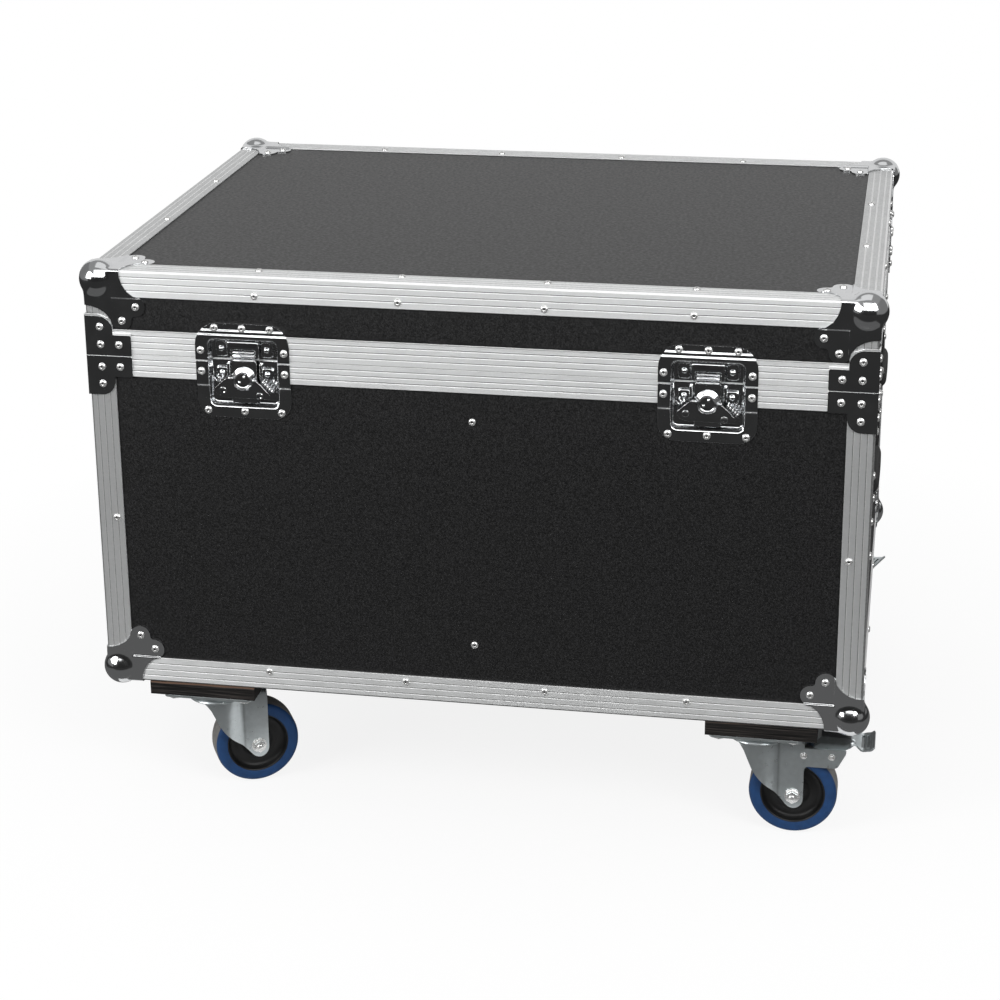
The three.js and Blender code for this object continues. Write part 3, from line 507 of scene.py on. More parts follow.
def make_board(colour):
    """Painted plywood: paint that has sunk in to the plies, and worn off along the upper edge."""
    material, shader = finish("board", colour, 0.75, gloss=0.25)
    fibre = object_noise(material, 130, 5, (0.12, 0.12, 5))
    place = vector_parts(material, object_place(material))
    edge = remapped(material, place["Z"], CASE_LOW.z - 0.0048, CASE_LOW.z - 0.0024)
    left = remapped(material, place["X"], -0.2, 0.2, 1.0, 0.15)
    colour_drive = calc(material, "MULTIPLY", calc(material, "MULTIPLY", edge, left), 0.5)
    colour_drive = calc(material, "ADD", colour_drive, fibre)
    stops = shades(colour, (0.4, 0.4), (0.53, 1.6), (0.68, 6))
    vary_colour(material, shader, colour_drive, stops + [(0.9, BARE_WOOD)])
    vary_roughness(material, shader, fibre, 0.6, 0.85)
    add_bump(material, shader, fibre, 0.6, 0.4)


# Plain finishes: shine is roughness, metallic and gloss. Noise of a scale and detail drives tones, as places and
# shares of the colour, rough, as a range, and bump, as a strength and a depth in millimetres
PLAIN_FINISHES = {
    "laminate": {
        "shine": (0.42,), "tones": ((560, 3), (0.34, 0.35), (0.5, 1), (0.66, 2.2)),
        "rough": ((260,), 0.36, 0.5), "bump": ((560, 3), 0.55, 0.3),
    },
    "chrome": {"shine": (0.1, 1.0), "rough": ((55,), 0.07, 0.16), "bump": ((70, 1), 0.25, 0.12)},
    "black_steel": {"shine": (0.45, 0.2), "rough": ((500,), 0.38, 0.52), "bump": ((500,), 0.25, 0.1)},
    "grip_rubber": {"shine": (0.7,), "rough": ((700,), 0.6, 0.8), "bump": ((700,), 0.4, 0.12)},
    "tyre": {
        "shine": (0.6, 0.0, 0.25), "tones": ((120, 3), (0.3, 0.85), (0.7, 1.12)),
        "rough": ((120, 3), 0.5, 0.68), "bump": ((500,), 0.2, 0.1),
    },
    "tread": {
        "shine": (0.75,), "tones": ((150, 4), (0.3, 0.8), (0.7, 1.2)),
        "rough": ((150, 4), 0.65, 0.85), "bump": ((600,), 0.3, 0.15),
    },
    "hub_plastic": {"shine": (0.4, 0.0, 0.3), "rough": ((800,), 0.34, 0.5), "bump": ((800,), 0.2, 0.08)},
    "rivet_metal": {"shine": (0.25, 0.85), "rough": ((600,), 0.2, 0.34)},
    "rivet_pin": {"shine": (0.5, 0.6), "rough": ((900, 1), 0.4, 0.6)},
}


def make_plain(name, colour, shine, rough, tones=None, bump=None):
    """A finish of one colour whose shade, roughness and surface follow noise."""
    material, shader = finish(name, colour, *shine)
    if tones:
        vary_colour(material, shader, object_noise(material, *tones[0]), shades(colour, *tones[1:]))
    vary_roughness(material, shader, object_noise(material, *rough[0]), *rough[1:])
    if bump:
        add_bump(material, shader, object_noise(material, *bump[0]), *bump[1:])


def length_property(name, description, value, least):
    return bpy.props.FloatProperty(
        name=name, description=description, default=value, min=least, unit="LENGTH", subtype="DISTANCE",
    )


class CaseSizes(bpy.types.PropertyGroup):
    rivet_head: length_property("Rivet head", "Diameter of a rivet's domed head", 0.0086, 0.003)
    rivet_rise: length_property("Rivet rise", "Height of a rivet's head above the sheet", 0.0023, 0.0005)
    sheet: length_property("Fitting sheet", "Thickness of the pressed steel of corners and latches", 0.0012, 0.0005)
    ball_radius: length_property("Ball radius", "Radius of the ball of a corner", 0.0215, 0.01)
    floor: length_property("Floor", "Side of the square floor that the case stands on", 60, 3)


def colour_property(name, description, value):
    return bpy.props.FloatVectorProperty(
        name=name, description=description, default=value, min=0, max=1, size=3, subtype="COLOR",
    )


class CaseColours(bpy.types.PropertyGroup):
    laminate: colour_property("Laminate", "Faces of the plywood panels", (0.0072, 0.0072, 0.0075))
    aluminium: colour_property("Aluminium", "Edge angles and seam sections", (0.80, 0.81, 0.81))
    chrome: colour_property("Chrome", "Corners, braces and latches", (0.78, 0.79, 0.80))
    zinc: colour_property("Zinc", "Castor forks, plates and pedals", (0.54, 0.58, 0.59))
    black_steel: colour_property("Black steel", "Dishes of the handles", (0.02, 0.02, 0.02))
    grip_rubber: colour_property("Grip", "Moulded grips of the handles", (0.012, 0.012, 0.012))
    tyre: colour_property("Tyre", "Castor tyres", (0.006, 0.036, 0.114))
    tread: colour_property("Tread", "Running surface of the tyres", (0.13, 0.125, 0.12))
    hub_plastic: colour_property("Hub", "Centres of the castor wheels", (0.006, 0.006, 0.006))
    board: colour_property("Board", "Painted castor boards", (0.006, 0.005, 0.0045))
    rivet_metal: colour_property("Rivet", "Heads of the rivets", (0.85, 0.85, 0.84))
    # The pin end's near black is partly its own darker steel, partly painted shade of the hole it sits in
    rivet_pin: colour_property("Rivet pin", "Ends of the pins in the rivets", (0.051, 0.051, 0.0504))


# Axes of the next face round a corner, of a face drawn with W along B, and of one mirrored over A and B. FACES
# leads from a corner's top face to each of its three, and QUARTER is a quarter turn about an axis
NEXT_FACE = Matrix(((0, 0, 1, 0), (1, 0, 0, 0), (0, 1, 0, 0), (0, 0, 0, 1)))
ON_B = Matrix(((1, 0, 0, 0), (0, 0, 1, 0), (0, 1, 0, 0), (0, 0, 0, 1)))
SWAP_AB = Matrix(((0, 1, 0, 0), (1, 0, 0, 0), (0, 0, 1, 0), (0, 0, 0, 1)))
FACES = (Matrix.Identity(4), NEXT_FACE, NEXT_FACE @ NEXT_FACE)
QUARTER = {axis: Matrix.Rotation(math.radians(90), 4, axis) for axis in "XYZ"}

# Rivets, as places in millimetres
RIVET_PROFILE = (
    (0, -0.15), (1, -0.15), (1, 0.2), (0.95, 0.48), (0.84, 0.72), (0.66, 0.92), (0.46, 1),
    (0.36, 0.97), (0.29, 0.86), (0.27, 0.45), (0.2, 0.52), (0, 0.58),
)
PIN_SHARE = 0.3  # of a head's radius
LONG_ROW = (-240, -80, 80, 240)
SHORT_ROW = (-100, 100)
ROW_INSET = 22.7  # from the case's edge, on an upright face
FLAT_ROWS = (412, 309.5)  # from the middle of the top and the bottom
POST_INSET, POST_RISE = 21.7, 202.5
DIVIDER_RISES, PANEL_STEP = (73.4, 339), -2
BRACE_RIVETS = {"lid": ((15.7, 33.4), (15.7, 13), (36.8, 13.1)), "base": ((15.8, 12.8), (37, 12.4), (15.7, 32.6))}
LOBE_RIVETS = ((-57.6, -41.2), (-41.2, -57.6))
LATCH_RIVETS = {
    "lid": ((-31.5, 37.7), (0, 37.7), (31.5, 37.7), (-47.3, 11.9), (47.3, 11.9)),
    "base": ((-47.3, -12.2), (47.3, -12.2), (-42, -57.8), (0, -57.8), (42, -57.8)),
}
HANDLE_RIVETS = [(u, v) for u in (-74, 0, 74) for v in (-54, 54)] + [(-74, 0), (74, 0)]


def rivet_mesh(head, rise):
    """One domed head with the end of its pin in the middle."""
    bm = bmesh.new()
    turned(bm, [(radius * head / 2, height * rise) for radius, height in RIVET_PROFILE], 14)
    bmesh.ops.recalc_face_normals(bm, faces=bm.faces)
    pin = head / 2 * PIN_SHARE
    for face in bm.faces:
        radius = max(Vector(vert.co[:2]).length for vert in face.verts)
        # Faces in the pit take the pin finish: partly the pin's darker steel, partly painted shade of the hole
        face.material_index = int(radius < pin and face.calc_center_median().z > 0)
    mesh = bpy.data.meshes.new("rivet")
    bm.to_mesh(mesh)
    bm.free()
    return mesh


def rivet_places(body):
    """Where the heads of one body's rivets stand, as matrices to the row frame."""
    lid = body == "lid"
    height = FACE[body]
    places = []

    def add(place, points, w=0.0):
        places.extend(place @ Matrix.Translation((u, v, w)) for u, v in points)

    for side in ("front", "back", "left", "right"):
        long = side in ("front", "back")
        place = facing(side, (MIDDLE.x if long else FACE[side], FACE[side] if long else MIDDLE.y, height))
        add(place, [(u, -UP[body] * ROW_INSET) for u in (LONG_ROW if long else SHORT_ROW)])
        if not lid:
            post = (CASE_HIGH - MIDDLE)[0 if long else 1] / MM - POST_INSET
            add(place, [(-post, POST_RISE), (post, POST_RISE)])
            if long:
                add(place, [(0, rise) for rise in DIVIDER_RISES], PANEL_STEP)
    flat = facing("top" if lid else "bottom", (MIDDLE.x, MIDDLE.y, height))
    end, edge = FLAT_ROWS
    add(flat, [(u, v) for u in LONG_ROW for v in (-edge, edge)])
    add(flat, [(u, v) for u in (-end, end) for v in SHORT_ROW])
    for across, along in CORNERS:
        corner = corner_frame(body, across, along, SEAM)
        for turn in (ON_B, SWAP_AB @ ON_B):
            add(corner @ turn, [(-u, v) for u, v in BRACE_RIVETS[body]], BRACE_OUTER)
        corner = corner_frame(body, across, along, height)
        for turn in FACES:
            add(corner @ turn, LOBE_RIVETS, CORNER_OUTER - JOGGLE)
        for u, v in LATCH_RIVETS[body]:
            add(latch_frame(along, across), [(u, v)], LATCH_OUTER - latch_joggle(body, abs(v)))
        if not lid:
            add(handle_frame(across, along), HANDLE_RIVETS, HANDLE_OUTER)
    return places


class FLIGHTCASE_OT_rivets(bpy.types.Operator):
    """Sets domed rivets along the edges and in every fitting"""

    bl_idname = "flight_case.rivets"
    bl_label = "Rivets"

    def execute(self, context):
        sizes = context.scene.case_sizes
        rivet = rivet_mesh(sizes.rivet_head / MM, sizes.rivet_rise / MM)
        for body in ("lid", "base"):
            bm = bmesh.new()
            for place in rivet_places(body):
                stamp(bm, rivet, place)
            piece(bm, f"{body}_rivets", body, "extrusion", materials=("rivet_metal", "rivet_pin"))
        bpy.data.meshes.remove(rivet)
        return {"FINISHED"}


# Folded braces at the seam, drawn at a corner with their height along C
BRACE_OUTER = 1.75
BRACE_FOLD = 0.8
BRACE_SHEET = 1.7


def brace(body, across, along):
    bm = bmesh.new()
    low, high, reach, arm, column = 0.3, 45.7, -51.2, 24.2, -30.2
    outline = [(BRACE_OUTER, low), (reach, low), (reach, arm), (column, arm), (column, high), (BRACE_OUTER, high)]
    polygon(bm, outline, BRACE_OUTER)
    for place, radius in (((column, high), 16), ((reach, arm), 2), ((reach, low), 2)):
        round_corner(bm, (*place, BRACE_OUTER), radius)
    slice_faces(bm, 0, [BRACE_OUTER - BRACE_FOLD * share for share in (1, 0.7, 0.4, 0.15)] + [-1, column])
    move(bm, ON_B)
    repeat_turned(bm, SWAP_AB)
    weld(bm, 0.001)
    face_outwards(bm, (1, 1, 0))
    thicken(bm, BRACE_SHEET)
    flat = BRACE_OUTER - BRACE_FOLD
    for vert in bm.verts:
        inner = Vector((min(vert.co.x, flat), min(vert.co.y, flat), vert.co.z))
        out = vert.co - inner
        if out.x > 0 and out.y > 0:
            vert.co = inner + out.normalized() * max(out.x, out.y)
    place = corner_frame(body, across, along, SEAM)
    piece(bm, f"{body}_brace_{along}_{across}", body, "chrome", place, edge=0.3)


class FLIGHTCASE_OT_braces(bpy.types.Operator):
    """Folds the braces round the upright edges, above and below the seam"""

    bl_idname = "flight_case.braces"
    bl_label = "Corner braces"

    def execute(self, context):
        for body in ("lid", "base"):
            for across, along in CORNERS:
                brace(body, across, along)
        return {"FINISHED"}


# Ball corners, drawn where all three faces look along + axes
CORNER_OUTER = 1.5
JOGGLE = 2.0
BALL_INSET = 13.0
BALL_FILLET = 2.2
FOLD_POWER = 9  # of the rounding of two faces, where 2 is round
CORNER_CUTS = (-62, -56, -50, -44, -38, -34, -33, -32.2, -31.6, -31, -30.4, -29.6, *range(-29, 0, 2), 0, 0.8)


def corner_plate(bm):
    """One face of a corner: its outline with two lobes, pressed down where it lies on the panel."""
    lobe, notch, step = -68.5, -52.4, -29
    sweep = [(-40.5, CORNER_OUTER), (-41.4, -7.4), (-43.8, -15.2), (-48.8, -23.2), (-56.5, step)]
    outline = [(CORNER_OUTER, CORNER_OUTER), *sweep, (lobe, step), (lobe, notch), (notch, notch), (notch, lobe)]
    outline += [(step, lobe)] + [(v, u) for u, v in reversed(sweep)]
    polygon(bm, outline, CORNER_OUTER)
    bends = {(lobe, step): 11.6, (lobe, notch): 11.6, (notch, notch): 4}
    for (u, v), radius in bends.items():
        for place in {(u, v, CORNER_OUTER), (v, u, CORNER_OUTER)}:
            round_corner(bm, place, radius)
    slice_faces(bm, 0, CORNER_CUTS)
    slice_faces(bm, 1, CORNER_CUTS)
    for vert in bm.verts:
        vert.co.z -= JOGGLE * min(ramp(-vert.co.x, 30.4, 32.2), ramp(-vert.co.y, 29.6, 33))


def press_ball(bm, radius):
    """Rounds the folded edges, and presses the ball out of the corner with a soft fillet."""
    centre = Vector((-BALL_INSET,) * 3)
    for vert in bm.verts:
        away = vert.co - centre
        out = [max(part, 0.0) for part in away]
        widest = max(out)
        power = FOLD_POWER - (FOLD_POWER - 2) * ramp(min(out) / widest, 0, 0.5)
        norm = sum((part / widest) ** power for part in out) ** (1 / power)
        away = Vector([part / norm if part > 0 else part for part in away])
        reach = away.length
        pressed = (reach + radius + math.hypot(reach - radius, BALL_FILLET)) / 2
        vert.co = centre + away * (pressed / reach)


def ball_corner(body, across, along, radius, sheet):
    bm = bmesh.new()
    corner_plate(bm)
    plate = bpy.data.meshes.new("corner_plate")
    bm.to_mesh(plate)
    for turn in FACES[1:]:
        stamp(bm, plate, turn)
    bpy.data.meshes.remove(plate)
    weld(bm, 0.01)
    face_outwards(bm, (1, 1, 1))
    press_ball(bm, radius)
    bm.normal_update()
    thicken(bm, sheet)
    place = corner_frame(body, across, along, FACE[body])
    name = f"{body}_ball_corner_{along}_{across}"
    piece(bm, f"{name}_pressed", body, "chrome", place, (name,), sharp=50)


class FLIGHTCASE_OT_ball_corners(bpy.types.Operator):
    """Presses the eight ball corners"""

    bl_idname = "flight_case.ball_corners"
    bl_label = "Ball corners"

    def execute(self, context):
        sizes = context.scene.case_sizes
        for body in ("lid", "base"):
            for across, along in CORNERS:
                ball_corner(body, across, along, sizes.ball_radius / MM, sizes.sheet / MM)
        return {"FINISHED"}


# Latches, drawn across, up from the seam and out of the bands
LATCH_OUTER = 1.5
LATCH_STEP = {"lid": (29.3, 36.2), "base": (27, 30.5)}
LATCH_FOLD = 2  # length of each of the two folds above
LATCH_SPLIT = 0.8
DISH_FLOOR = -9.5
FOOT = DISH_FLOOR - 0.6  # where what stands on the floor is sunk into it
HUB_DROP = -20.7
FLANGE = ((-53.5, -65.5), (53.5, 42.9), (20, 20, 25, 25), LATCH_OUTER)
RECESS = ((-39, -52), (39, 24.5), (7, 7, 7, 7), LATCH_OUTER)
FLANGE_CUTS = (-30.5, -29.6, -28.7, -27.9, -27, 29, 29.3, 29.6, 31, 31.3, 31.6, 33.9, 34.2, 34.5, 35.9, 36.2, 36.5)
PADS = {"lid": (12.5, 8.5), "base": (-15.5, 6.5)}
PAD_RISE = DISH_FLOOR + 3.2
RAIL_TOP = DISH_FLOOR + 4.5
WING_LOW, WING_HIGH = 1.8, 3.4
HANDLE_OUTER = -0.5


def latch_joggle(body, height):
    """How far a latch's sheet has stepped down to the panel: in two folds above, in one below."""
    start, end = LATCH_STEP[body]
    if body == "base":
        return JOGGLE * ramp(height, start, end)
    folds = slope(height, start, start + LATCH_FOLD) + slope(height, end - LATCH_FOLD, end)
    return JOGGLE / 2 * folds


def keep_half(bm, body):
    """Keeps the lid's or the base's half of what is drawn."""
    lid = body == "lid"
    bmesh.ops.bisect_plane(
        bm, geom=all_of(bm), dist=0.0001, plane_co=(0, UP[body] * LATCH_SPLIT, 0), plane_no=(0, 1, 0),
        clear_inner=lid, clear_outer=not lid,
    )


def add_pad(bm, centre, half):
    """A raised pad on the floor of a latch, with the head of a stud on it."""
    (u, v), (across, up) = centre, half
    pad = ((u - across, v - up), (u + across, v + up), (3, 3, 3, 3), DISH_FLOOR)
    steps = ((1.6, FOOT), (0.4, PAD_RISE - 0.7), (-0.4, PAD_RISE), (-1.2, PAD_RISE))
    add_block(bm, stepped(pad, steps))
    head = [(0, -0.4), (3.4, -0.4), (3.3, 0.7), (2.7, 1.8), (1.6, 2.5), (0.7, 2.75), (0, 2.8)]
    stamp_turned(bm, head, 16, Matrix.Translation((u, v, PAD_RISE)))


def add_bridge(bm):
    """The keeper's bridge: a slotted front that the hook's lips show through, and walls open below for the hook."""
    front, back = -0.6, -2.2
    outer = ((-18, 3), (18, 22.6), (2.5, 2.5, 2.5, 2.5), back)
    slot = ((-13.9, 4.4), (13.9, 13.4), (1.2, 1.2, 1.2, 1.2), front)
    rim = stepped(outer, ((0, back), (0, -1.8), (-0.35, -1.05), (-1.1, front)))
    loft(bm, rim + stepped(slot, ((0.3, front), (0, -0.9), (0, back))), closed=True)
    walls = [(-18, 5.5), (-16.4, 5.5), (-16.4, 20.8), (16.4, 20.8), (16.4, 5.5), (18, 5.5), (18, 22.6), (-18, 22.6)]
    before = set(bm.faces)
    polygon(bm, walls, -2)
    for across in (-18, 18):
        round_corner(bm, (across, 22.6, -2), 2.5)
    raise_faces(bm, list(set(bm.faces) - before), DISH_FLOOR + 2)


def pressed_latch(body, along, across, sheet):
    """The lid's or the base's half of the recessed plate, with its pads."""
    bm = bmesh.new()
    steps = (
        (2.4, LATCH_OUTER), (1.2, LATCH_OUTER - 0.3), (0.4, LATCH_OUTER - 1), (0, LATCH_OUTER - 2.2),
        (-1.2, DISH_FLOOR + 1.6), (-1.9, DISH_FLOOR + 0.5), (-3.2, DISH_FLOOR),
    )
    loft(bm, [FLANGE] + stepped(RECESS, steps), floor=True)
    weld(bm, 0.001)
    slice_faces(bm, 1, FLANGE_CUTS)
    keep_half(bm, body)
    for vert in bm.verts:
        vert.co.z -= slope(vert.co.z, DISH_FLOOR, 0) * latch_joggle(body, abs(vert.co.y))
    face_outwards(bm, (0, 0, 1))
    thicken(bm, sheet)
    middle, half = PADS[body]
    for side in (-25.8, 25.8):
        add_pad(bm, (side, middle), (6.2, half))
    if body == "lid":
        add_bridge(bm)
    else:
        for side in (-18.4, 18.4):
            rail = ((side - 1.6, -20), (side + 1.6, -4), (1, 1, 1, 1), DISH_FLOOR)
            steps = ((0.8, FOOT), (0.2, RAIL_TOP - 0.6), (-0.5, RAIL_TOP))
            add_block(bm, stepped(rail, steps))
    name = {"lid": "latch_keeper", "base": "latch_dish"}[body]
    node = f"{name}_{along}_{across}"
    piece(bm, f"{name}_pressed_{along}_{across}", body, "chrome", latch_frame(along, across), (node,), edge=0.35)


def latch_hook(along, across):
    """Chamfered plate that the hub slides, with a neck and rounded lips behind the bridge."""
    bm = bmesh.new()
    front, back = -3.2, -5.0
    tail, half, top = -48.5, 14.3, 1
    plate = polygon(bm, [
        (-half, tail), (half, tail), (half, top - 3), (half - 2.4, top), (2.4 - half, top), (-half, top - 3),
    ], front)
    raise_faces(bm, [plate], back - front)
    neck = polygon(bm, [(-12.5, -4), (12.5, -4), (12.5, 14), (-12.5, 14)], front - 0.4)
    raise_faces(bm, [neck], back - front + 0.6)
    for height, out, reach, radius in ((0.2, 0.2, 11.6, 0.9), (5.6, 0.6, 12.4, 1.2), (9.4, 0, 12.4, 0.8)):
        ends = ((0, reach), (radius * 0.7, reach), (radius, reach - 0.5))
        profile = [(around, -end) for around, end in ends] + list(reversed(ends))
        stamp_turned(bm, profile, 12, Matrix.Translation((0, height, front + out)) @ QUARTER["Y"])
    name = f"latch_hook_{along}_{across}"
    piece(bm, f"{name}_plate", name, "chrome", latch_frame(along, across), (name,), edge=0.35)


def latch_hub(along, across):
    """Ringed head on its spindle, with a raised rim and two small studs in its face."""
    bm = bmesh.new()
    profile = [(0, 3.4), (7.4, 3.4), (8, 3.6), (8.5, 4), (9, 4), (9.5, 3.5), (9.6, 2.9), (9.5, 2.5)]
    for radius, height in ((10.3, 2.2), (11.3, 0.9), (12.2, -0.4), (13.1, -1.7)):
        ring = ((-0.2, 0.1), (0.3, -0.3), (0.25, -0.8), (-0.1, -1.1))
        profile += [(radius + out, height + up) for out, up in ring]
    turned(bm, profile + [(12, -3), (5, -3), (5, -9.2), (0, -9.2)], 40)
    stud = [(0, 3.2), (1.8, 3.2), (1.7, 3.7), (1.2, 4.2), (0.5, 4.5), (0, 4.55)]
    for u, v in ((1.4, 4), (-3.8, -2.4)):
        stamp_turned(bm, stud, 14, Matrix.Translation((u, v, 0)))
    name = f"latch_hub_{along}_{across}"
    piece(bm, f"{name}_head", name, "chrome", hub_frame(along, across), (name,))


def latch_wing(along, across):
    """Folding wing, cut round the hub, with its hinge bars and two pressed rings."""
    bm = bmesh.new()
    clear = 11.2
    cut = [math.radians(angle) for angle in range(169, 366, 14)]
    outline = [(clear * math.cos(angle), clear * math.sin(angle)) for angle in cut]
    bends = {(18.5, -3): 5, (31, -16.5): 4, (29.5, -20.6): 2, (-27, -20.2): 6, (-34, -11.5): 4, (-18, 3.4): 6}
    polygon(bm, outline + [(13.4, 1), *bends], WING_LOW)
    for place, radius in bends.items():
        round_corner(bm, (*place, WING_LOW), radius)
    raise_faces(bm, bm.faces[:], WING_HIGH - WING_LOW)
    ring = [(0, -0.3), (3.9, -0.3), (3.9, 0.1), (3.5, 0.5), (3, 0.5), (2.5, 0.1), (0, 0.1)]
    for u, v in ((-23, -12), (18.5, -17)):
        stamp_turned(bm, ring, 18, Matrix.Translation((u, v, WING_HIGH)))
    bar = [(0, -2.4), (1.1, -2.4), (1.3, -2.1), (1.3, 2.1), (1.1, 2.4), (0, 2.4)]
    for u, v in ((-14, 2.2), (13.2, 0.2)):
        stamp_turned(bm, bar, 14, Matrix.Translation((u, v, WING_HIGH - 0.7)) @ QUARTER["Y"])
    name = f"latch_wing_{along}_{across}"
    piece(bm, f"{name}_plate", name, "chrome", hub_frame(along, across), (name,), edge=0.35)


SPRINGS = (((21, -2), (33.5, -14), 5), ((-31.5, -3), (-26, 2.5), 2))  # ends and turns
COIL_RADIUS, WIRE_RADIUS, COIL_HEIGHT, TURN_STEPS = 3, 0.8, -3.6, 12


def latch_spring(along, across):
    """The wing's spring: wire coiled beside the hub, on the floor of the dish."""
    bm = bmesh.new()
    for start, end, turns in SPRINGS:
        coil = bmesh.new()
        wire = bmesh.ops.create_circle(coil, segments=8, radius=WIRE_RADIUS, cap_ends=False)["verts"]
        bmesh.ops.transform(coil, verts=wire, matrix=Matrix.Translation((COIL_RADIUS, 0, 0)) @ QUARTER["X"])
        run = Vector((*end, 0)) - Vector((*start, 0))
        steps = TURN_STEPS * turns
        bmesh.ops.spin(
            coil, geom=coil.verts[:] + coil.edges[:], cent=(0, 0, 0), axis=(0, 0, 1),
            dvec=(0, 0, run.length / steps), angle=2 * math.pi * turns, steps=steps,
        )
        ends = [edge for edge in coil.edges if edge.is_boundary]
        bmesh.ops.holes_fill(coil, edges=ends, sides=8)
        lie = run.to_track_quat("Z", "Y").to_matrix().to_4x4()
        stamp_bmesh(bm, coil, Matrix.Translation((*start, COIL_HEIGHT)) @ lie)
    piece(bm, f"latch_spring_{along}_{across}", "base", "chrome", hub_frame(along, across))


class FLIGHTCASE_OT_latches(bpy.types.Operator):
    """Presses the four butterfly latches and fits their moving pieces"""

    bl_idname = "flight_case.latches"
    bl_label = "Butterfly latches"

    def execute(self, context):
        sheet = context.scene.case_sizes.sheet / MM
        for across, along in CORNERS:
            for body in ("lid", "base"):
                pressed_latch(body, along, across, sheet)
            latch_hook(along, across)
            latch_hub(along, across)
            latch_wing(along, across)
            latch_spring(along, across)
        return {"FINISHED"}


# Handles, drawn across, up and out of a side
def pressed_handle_dish(side, along, sheet):
    """Recessed dish of a handle, with the lugs that hold its pin."""
    bm = bmesh.new()
    flange = ((-83.5, -63), (83.5, 63), (14, 14, 14, 14), HANDLE_OUTER)
    recess = ((-65.5, -45), (65.5, 45), (12, 12, 12, 12), HANDLE_OUTER)
    steps = (
        (2, HANDLE_OUTER), (0.8, HANDLE_OUTER - 0.4), (0, HANDLE_OUTER - 1.4), (-1.5, DISH_FLOOR + 1.8),
        (-2.2, DISH_FLOOR + 0.6), (-3.6, DISH_FLOOR),
    )
    loft(bm, [flange] + stepped(recess, steps), floor=True)
    weld(bm, 0.001)
    face_outwards(bm, (0, 0, 1))
    thicken(bm, sheet)
    for across in (-58.4, 58.4):
        lug = ((across - 1.5, 26), (across + 1.5, 38), (1.2, 1.2, 1.2, 1.2), DISH_FLOOR)
        add_block(bm, stepped(lug, ((0, FOOT), (0, -2.2), (-0.8, -1.2))))
    node = f"handle_dish_{side}_{along}"
    piece(bm, f"{node}_pressed", "base", "black_steel", handle_frame(side, along), (node,))


ROD_RADIUS, ROD_BEND = 2.7, 5
ROD_ARM, ROD_END = 51.9, 61.5  # how far out the arms stand, and their ends in the lugs
BAIL_PIVOT, GRIP_CENTRE = (32, -4.7), (-18, -1.6)
GRIP_HALF = (11, 7.6)
RIB_PITCH = 3.8


def handle_bail(side, along):
    """Bent rod of a handle, with its moulded grip."""
    name = f"handle_bail_{side}_{along}"
    place = handle_frame(side, along)
    up, out = BAIL_PIVOT
    path = [(ROD_ARM, *GRIP_CENTRE), (ROD_ARM, up - ROD_BEND, out + 0.3)]
    for angle in (22.5, 45, 67.5, 90):
        turn = math.radians(angle)
        path.append((ROD_ARM + ROD_BEND * (1 - math.cos(turn)), up - ROD_BEND * (1 - math.sin(turn)), out))
    path.append((ROD_END, up, out))
    bm = bmesh.new()
    for across in (-1, 1):
        rod(bm, [(across * u, v, w) for u, v, w in path], ROD_RADIUS)
    piece(bm, f"{name}_rod", name, "black_steel", place)
    bm = bmesh.new()
    end = ((0, 54), (0.62, 54), (0.8, 53.3), (0.9, 51.5), (0.94, 49))
    profile = [(radius, -along_grip) for radius, along_grip in end]
    for rib in range(-12, 13):
        bulge = 1 - 0.05 * (rib / 12) ** 2
        profile += [(bulge - 0.035, (rib - 0.5) * RIB_PITCH), (bulge, rib * RIB_PITCH)]
    turned(bm, profile + [(0.915, 47.5), *reversed(end)], 28)
    lie = Matrix.Translation((0, *GRIP_CENTRE)) @ Matrix.Diagonal((1, *GRIP_HALF, 1)) @ QUARTER["Y"]
    move(bm, lie)
    piece(bm, f"{name}_grip", name, "grip_rubber", place, (name,))


class FLIGHTCASE_OT_handles(bpy.types.Operator):
    """Presses the four handle dishes and fits their sprung bails"""

    bl_idname = "flight_case.handles"
    bl_label = "Recessed handles"

    def execute(self, context):
        sheet = context.scene.case_sizes.sheet / MM
        for side in ("left", "right"):
            for along in ("front", "back"):
                pressed_handle_dish(side, along, sheet)
                handle_bail(side, along)
        return {"FINISHED"}


# Castors, drawn from the floor under the swivel, with U towards the wheel and W up
AXLE = (42, 50)
TREAD_RADIUS = 50
CROWN_TOP = 119.7
FORK_SHEET = 2.6
NOSE_RADIUS, LEG_OUT = 30.5, 22.5
FORK_SPLIT, SHOULDER = 82.5, 115.4
SHOULDER_STEPS = ((117.4, 0.5), (118.9, 1.7), (CROWN_TOP, 4))  # height, and how far in
# Painted light and shade along the fork's sheet, by U: a painted highlight on the nose, painted shade in the crease
# where the leg turns flat
FOLD_PAINTED_LIGHT = (
    (-30.5, 0.36), (-26, 0.2), (-18, -0.05), (-9, -0.02), (2, 0.06), (13.2, 0.14), (19.4, 0.1), (22.4, 0.02),
    (25.4, -0.2), (28, 0.08), (40, 0.1),
)
LOWER_EDGE = (
    (-30.5, 116.6), (-26, 116), (-21, 113.5), (-15, 107), (-10, 96), (-4.5, 83.5), (1, 74.5), (7.3, 67),
    (15, 59.5), (22.6, 52.8), (29, 45.5), (34, 39.3), (37, 36.4), (40, 34.9), (43.4, 34.4), (47, 35.2),
    (50, 37.2), (52.4, 40.3), (53.6, 43.6), (54, 47),
)
PLATE_EDGE = (
    (54, 82.5, 110.2), (54.6, 84.8, 110.2), (55.8, 86.6, 110.2), (57.8, 87.5, 110.2), (66, 87.5, 110.2),
    (76, 87.5, 110.2), (87, 87.5, 110.2), (90, 88.2, 110.2), (92, 90, 110.2), (96.4, 98.6, 110.2),
    (99.6, 105, 110), (100.4, 107.6, 109.2),
)


def interpolated(table, place):
    for (start, low), (end, high) in zip(table, table[1:]):
        if place <= end:
            return low + (high - low) * max((place - start) / (end - start), 0)
    return table[-1][1]


